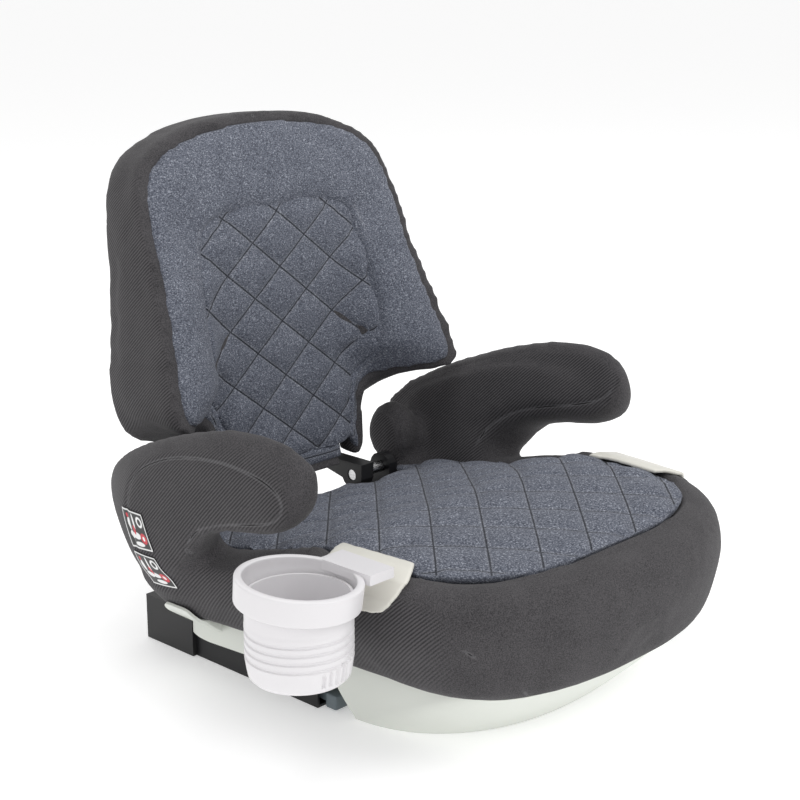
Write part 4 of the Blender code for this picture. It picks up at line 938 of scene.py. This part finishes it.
def buildBase():
    rings = baseRings(0, 0.0, base["top"])
    shell = surface("baseShellWhite", rings * mm)
    hollow = surface("hollow", baseRings(base["wall"], -1.0, base["top"] - base["wall"]) * mm)
    combine(shell, hollow)
    lean = base["lean"]
    roof = base["top"] - 6
    bottom = base["skirtBottom"]
    combine(shell, slabAlongX("behind", [(base["footRear"] - lean, -1),
                                         (base["footRear"] + lean * bottom, bottom),
                                         (base["skirtRear"], bottom), (base["skirtRear"], roof), (260, roof),
                                         (260, -1)], -260, 260))
    for side in (-1, 1):
        for y in (30, 100):
            low, high = sorted((side * 137.4, side * 142.6))
            combine(shell, blockOf((low * mm, (y - 2.6) * mm, 0.03), (high * mm, (y + 2.6) * mm, 0.06)))
    wallTop = base["top"] - 1.5
    rib = [(base["footRear"], 0), (base["footRear"] + lean * wallTop, wallTop),
           (base["footRear"] + lean * wallTop - base["wall"], wallTop), (base["footRear"] - base["wall"], 0)]
    half = base["halfWidth"] - base["wall"] / 2
    combine(shell, slabAlongX("rib", rib, -half, half), "UNION")
    tidy(shell, sharp=32)
    finished(shell, "shell", "seat", ["base_shell"])

    # A raised tab on each side, which laps over the cover's lower edge.
    for side, word in ((-1, "Right"), (1, "Left")):
        u = np.linspace(-1, 1, 30)[:, None]
        v = np.linspace(0, 1, 12)[None, :]
        bulge = (1 - np.abs(u) ** 6) ** 0.5
        y = 97 + 20 * u * (1 + 0 * v)
        z = 40 + 26 * v * bulge
        share = np.clip((z - base["top"]) / (smoothTable(edgeTable[:, 0], edgeTable[:, 1], y) - base["top"]),
                        0, 1)
        inset = smoothTable(levelTable[:, 0], levelTable[:, 1], share)
        x = side * (np.maximum(162, seatCover["halfWidth"] - inset) + 2.5)
        front = np.stack((x, y, z), axis=-1)
        tab = surface(f"shellTab{word}", front * mm, wrapCols=False)
        thick = tab.modifiers.new("thick", "SOLIDIFY")
        thick.thickness = 2.4 * mm
        thick.offset = 0
        rounded = tab.modifiers.new("rounded", "BEVEL")
        rounded.width = 0.8 * mm
        rounded.segments = 3
        rounded.limit_method = "ANGLE"
        settle(tab)
        tidy(tab, sharp=50)
        finished(tab, "shell", "seat")
    print("base done")


# The belt guides.
guide = {
    "voxel": 1.1, "rounds": 6, "share": 0.5, "fuller": 0.4,
    # (y, z) below which nothing of the plate is left: a lobe that rises in a hollow curve to the front tip
    "cutAway": ((-170, 90), (-170, 152), (-147, 151), (-141, 148), (-138, 142), (-136, 135), (-132, 128),
                (-126, 122), (-117, 119), (-100, 118.5), (-50, 118), (-50, 90)),
}


def buildGuide(word):
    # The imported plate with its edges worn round: small even faces, relaxed and then grown back a little.
    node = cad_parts[f"belt_guide_{word.lower()}"]
    plate = bpy.data.objects.new(f"beltGuide{word}", node.data.copy())
    scene.collection.objects.link(plate)
    combine(plate, slabAlongX("cutAway", guide["cutAway"], -260, 260))
    evened(plate, guide["voxel"] * mm)
    relax(plate, guide["rounds"], guide["share"])
    moveTo(plate, placeOf(plate) + normalOf(plate) * guide["fuller"] * mm)
    plate.data.shade_smooth()
    finished(plate, "guide", "seat", [node.name])
    print("belt guide done", word)


# The cup holder: a hooked ring and the cup below it.
cup = {"outer": 46.0, "inner": 39.5, "ringHeight": 20.0, "slant": 5.0, "bottom": 85.0, "grooves": 4,
       "grooveTop": 38.0, "groovePitch": 6.2, "slots": 6, "slotFirst": -62.0, "slotStep": -9.0, "turns": 256}


def revolve(name, profile, centre, turns, shape=None, tilt=None):
    # A closed profile of (radius, height) turned round Z; shape(angle, radius, height) may change the radius.
    angle = np.linspace(0, 2 * pi, turns, endpoint=False)[None, :]
    profile = np.array(profile, float)
    radius = profile[:, :1] + 0 * angle
    height = profile[:, 1:] + 0 * angle
    if shape:
        radius = shape(angle, radius, height)
    grid = np.stack((radius * np.cos(angle), radius * np.sin(angle), height), axis=-1)
    if tilt is not None:
        grid = grid @ np.array(tilt).T
    return surface(name, (grid + np.array(centre)) * mm, wrapRows=True, sharp=50)


def roundedProfile(corners, radius):
    # Each corner of a closed profile as a short arc: points on the quadratic curve between its legs.
    corners = np.array(corners, float)
    before = np.roll(corners, 1, 0) - corners
    after = np.roll(corners, -1, 0) - corners
    lengths = [np.linalg.norm(leg, axis=1)[:, None] for leg in (before, after)]
    reach = np.minimum(radius, np.minimum(*lengths) * 0.45)
    start = corners + before / lengths[0] * reach
    end = corners + after / lengths[1] * reach
    t = np.linspace(0, 1, 6)[None, :, None]
    arc = start[:, None] * (1 - t) ** 2 + corners[:, None] * 2 * t * (1 - t) + end[:, None] * t ** 2
    return arc.reshape(-1, 2)


def buildCup():
    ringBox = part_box("cup_ring")
    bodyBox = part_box("cup_body")
    centreX, centreY = (np.array(bodyBox[0]) + np.array(bodyBox[1]))[:2] / 2 / mm
    middleZ = (ringBox[0][2] + ringBox[1][2]) / 2 / mm
    half = cup["ringHeight"] / 2
    tilt = Matrix.Rotation(radians(cup["slant"]), 3, Vector((0.73, 0.69, 0)))
    outer, inner = cup["outer"], cup["inner"]
    corners = [(outer, half - 1), (outer - 0.6, -half + 1), (outer - 2.5, -half), (inner + 2.8, -half),
               (inner + 2.2, half - 8), (inner + 0.5, half), (outer - 2, half)]
    ring = revolve("cupRingWhite", roundedProfile(corners, 2.4), (centreX, centreY, middleZ), cup["turns"],
                   tilt=tilt)
    hookLow, hookHigh = 151.0, 158.6
    hook = blockOf(((centreX + 38) * mm, -136 * mm, hookLow * mm), (-183 * mm, -84 * mm, hookHigh * mm),
                   "hook")
    combine(ring, hook, "UNION")
    rounded = ring.modifiers.new("rounded", "BEVEL")
    rounded.width = 1.6 * mm
    rounded.segments = 3
    rounded.limit_method = "ANGLE"
    rounded.angle_limit = radians(60)
    settle(ring)
    tidy(ring, sharp=40)
    finished(ring, "cup", "cup_holder", ["cup_ring"])

    top = middleZ - half + 8 - cup["bottom"]
    wall = 2.0
    outside = [(38.6, top), (38.6, 44), (38.9, 42)]
    for number in range(cup["grooves"]):
        height = cup["grooveTop"] - number * cup["groovePitch"]
        outside += [(38.9, height + 1.6), (37.8, height + 0.8), (37.8, height - 0.8), (38.9, height - 1.6)]
    outside += [(37.6, 9), (36.6, 4), (33.5, 0.8), (29, 0), (0.2, 0)]
    inside = [(0.2, wall), (30, wall), (34.4, 5), (36, 12), (36.6, top)]
    turnsOfSlots = radians(1) * (cup["slotFirst"] + cup["slotStep"] * np.arange(cup["slots"]))
    slotTop = 24 - 1.6 * np.arange(cup["slots"])
    dense = smoothCorners(outside + inside)

    def slotted(angle, radius, height):
        # Upright slots cut 1.6 mm into the wall, each a smooth trough about 2 mm wide.
        outer = radius > 36.9
        depth = np.zeros_like(radius)
        for at, tall in zip(turnsOfSlots, slotTop):
            away = np.abs((angle - at + pi) % (2 * pi) - pi) * 38
            depth = np.maximum(depth, ease((1.8 - away) / 0.9) * ease((tall - height) / 1.5)
                               * ease((height - 5) / 1.5))
        return radius - np.where(outer, 1.6 * depth, 0)

    body = revolve("cupBodyWhite", dense, (centreX, centreY, cup["bottom"]), cup["turns"], slotted)
    finished(body, "cup", "cup_holder", ["cup_body"])
    print("cup holder done")


def smoothCorners(corners):
    # The profile with more points along its long legs, so that slots have something to bend.
    corners = np.array(corners, float)
    following = np.roll(corners, -1, 0)
    pieces = []
    for start, end in zip(corners, following):
        count = max(2, int(np.linalg.norm(end - start) / 1.2))
        t = np.linspace(0, 1, count, endpoint=False)[:, None]
        pieces.append(start + (end - start) * t)
    return np.vstack(pieces)


# The side label: two framed panels of plain pictograms, with no lettering.
label = {"upper": ((141, 146), (110, 147), (98, 117), (128, 114)),
         "lower": ((129, 111), (99, 112), (85, 86), (116, 83)),
         "x": -230.0, "lift": 0.5, "thickness": 0.5}


def labelMaterial():
    made, g, shader = newMaterial("labelFilm", Roughness=0.35, Specular_IOR_Level=0.5)
    uv = g.add("ShaderNodeUVMap", {"uv_map": "labelMap"}).outputs[0]
    split = g.add("ShaderNodeSeparateXYZ", None, Vector=uv)
    u, v = split.outputs[0], split.outputs[1]

    def spot(cx, cy, rx, ry, soft=0.2):
        # 1 inside an ellipse.
        du = g.sum("DIVIDE", g.sum("SUBTRACT", u, cx), rx)
        dv = g.sum("DIVIDE", g.sum("SUBTRACT", v, cy), ry)
        away = g.sum("ADD", g.sum("MULTIPLY", du, du), g.sum("MULTIPLY", dv, dv))
        return g.ramp(away, 1 - soft, 1 + soft, 1.0, 0.0)

    def frameMask(margin, soft=0.012):
        # 1 within a margin of the edge.
        near = [g.sum("MINIMUM", value, g.sum("SUBTRACT", 1.0, value)) for value in (u, v)]
        return g.ramp(g.sum("MINIMUM", near[0], near[1]), margin - soft, margin + soft, 1.0, 0.0)

    black, white, red = (0.012, 0.012, 0.012, 1), (0.8, 0.8, 0.8, 1), linear(196, 42, 58)
    colour = black
    for cx, cy, rx, ry, tint in ((0.24, 0.62, 0.07, 0.16, white), (0.22, 0.82, 0.045, 0.06, red),
                                 (0.28, 0.36, 0.12, 0.10, white), (0.5, 0.72, 0.035, 0.2, white),
                                 (0.5, 0.36, 0.16, 0.09, white), (0.45, 0.5, 0.05, 0.12, red),
                                 (0.77, 0.74, 0.13, 0.14, white), (0.77, 0.74, 0.07, 0.08, black),
                                 (0.77, 0.32, 0.13, 0.14, red), (0.77, 0.32, 0.05, 0.06, white),
                                 (0.52, 0.15, 0.2, 0.06, white)):
        colour = g.blend(spot(cx, cy, rx, ry), colour, tint)
    colour = g.blend(frameMask(0.055), colour, white)
    colour = g.blend(frameMask(0.018, 0.006), colour, black)
    g.put(shader, "Base Color", colour)
    vector = g.add("ShaderNodeTexCoord").outputs["Object"]
    bumped(g, shader, g.noise(vector, 400.0, 2.0), 0.2, 0.00004)
    return made


def buildLabels(cover):
    # Each panel is a rounded patch spread between its four corners and laid on the cover from outside.
    finishes["label"] = labelMaterial()
    for word in ("upper", "lower"):
        corners = np.array(label[word], float)
        t = np.linspace(0, 1, 28)
        u, v = np.meshgrid(t, t, indexing="xy")
        squeeze = 1 - 0.05 * np.abs(2 * v - 1) ** 14
        across = 0.5 + (u - 0.5) * squeeze
        place = ((1 - across) * v)[..., None] * corners[0] + (across * v)[..., None] * corners[1]
        place = place + (across * (1 - v))[..., None] * corners[2]
        place = place + ((1 - across) * (1 - v))[..., None] * corners[3]
        grid = np.stack((np.full_like(u, label["x"]), place[..., 0], place[..., 1]), axis=-1)
        patch = surface(f"sideLabel{word.capitalize()}", grid * mm, wrapCols=False)
        layer = patch.data.uv_layers.new(name="labelMap")
        corner = np.empty(len(patch.data.loops), np.int64)
        patch.data.loops.foreach_get("vertex_index", corner)
        layer.data.foreach_set("uv", np.stack((u.ravel(), v.ravel()), axis=1)[corner].ravel())
        wrap = patch.modifiers.new("wrap", "SHRINKWRAP")
        wrap.target = cover
        wrap.wrap_method = "PROJECT"
        wrap.use_project_x = True
        wrap.use_negative_direction = True
        wrap.use_positive_direction = True
        settle(patch)
        facing = normalOf(patch)
        facing *= np.where(facing[:, :1] > 0, -1, 1)
        moveTo(patch, placeOf(patch) + facing * label["lift"] * mm)
        thick = patch.modifiers.new("thick", "SOLIDIFY")
        thick.thickness = label["thickness"] * mm
        thick.offset = 0
        settle(patch)
        patch.data.shade_smooth()
        patch.data.materials.clear()
        patch.data.materials.append(finishes["label"])
        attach(patch, "seat")
        if word == "upper":
            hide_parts("side_label")
    print("labels done")


# Finishes for the CAD parts that are shown, by the start of their names.
cadFinishes = (("pivot_cap", "gloss"), ("cap_screw", "steel"), ("back_screw", "steel"),
               ("pivot_pin", "steel"), ("jaw_pin", "steel"), ("button_spring", "steel"),
               ("connector_arm", "steel"), ("connector_jaw", "steel"), ("cross_plate", "blackSteel"),
               ("rear_cross_tube", "blackSteel"), ("isofix_rail", "blackSteel"),
               ("hinge_bracket", "blackSteel"), ("release_button", "knob"), ("adjuster_knob", "knob"),
               ("", "black"))


def finishCadParts():
    for name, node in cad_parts.items():
        finish = next(finish for start, finish in cadFinishes if name.startswith(start))
        for slot in node.material_slots:
            slot.material = finishes[finish]


studio = {"target": (-0.0138, 0.0182, 0.2177), "distance": 1.4004, "azimuth": -46.6, "elevation": 15.6,
          "lens": 75.96}


def buildStudio():
    mesh = bpy.data.meshes.new("studioFloor")
    mesh.from_pydata([(-60, -60, 0), (60, -60, 0), (60, 60, 0), (-60, 60, 0)], [], [(0, 1, 2, 3)])
    floor = bpy.data.objects.new("studioFloor", mesh)
    scene.collection.objects.link(floor)
    floor.location.z = -0.0005
    made, _, shader = newMaterial("studioFloor", Roughness=0.9, Specular_IOR_Level=0.1)
    shader.inputs["Base Color"].default_value = (0.9, 0.9, 0.9, 1)
    shader.inputs["Emission Color"].default_value = (1, 1, 1, 1)
    shader.inputs["Emission Strength"].default_value = 0.32
    mesh.materials.append(made)

    world = bpy.data.worlds.new("studioWorld")
    scene.world = world
    world.use_nodes = True
    world.node_tree.nodes["Background"].inputs["Color"].default_value = (1, 1, 1, 1)
    world.node_tree.nodes["Background"].inputs["Strength"].default_value = 0.7
    for name, place, size, power in (("keyLight", (0.9, -1.9, 2.1), 1.6, 20.0),
                                     ("fillLight", (-2.2, -1.0, 1.4), 1.8, 9.0),
                                     ("topLight", (0.0, 0.1, 2.6), 2.0, 16.0),
                                     ("backLight", (0.6, 2.2, 1.6), 1.5, 6.0)):
        light = bpy.data.lights.new(name, "AREA")
        light.shape = "DISK"
        light.size = size
        light.energy = power
        lamp = bpy.data.objects.new(name, light)
        scene.collection.objects.link(lamp)
        lamp.location = place
        lamp.rotation_euler = (Vector(place) - Vector((0, 0, 0.2))).to_track_quat("Z", "Y").to_euler()

    camera = bpy.data.objects.new("camera", bpy.data.cameras.new("camera"))
    scene.collection.objects.link(camera)
    camera.data.lens = studio["lens"]
    camera.data.sensor_width = 36
    camera.data.clip_start = 0.05
    azimuth, elevation = radians(studio["azimuth"]), radians(studio["elevation"])
    back = Vector((sin(azimuth) * cos(elevation), -cos(azimuth) * cos(elevation), sin(elevation)))
    camera.location = Vector(studio["target"]) + back * studio["distance"]
    camera.rotation_euler = back.to_track_quat("Z", "Y").to_euler()
    scene.camera = camera
    scene.view_settings.view_transform = "Standard"
    scene.view_settings.look = "None"


finishCadParts()
cover = buildSeatCover()
buildSeatPad()
buildBackrest()
buildBase()
buildGuide("Right")
buildGuide("Left")
buildCup()
buildLabels(cover)
buildStudio()
print("scene done")
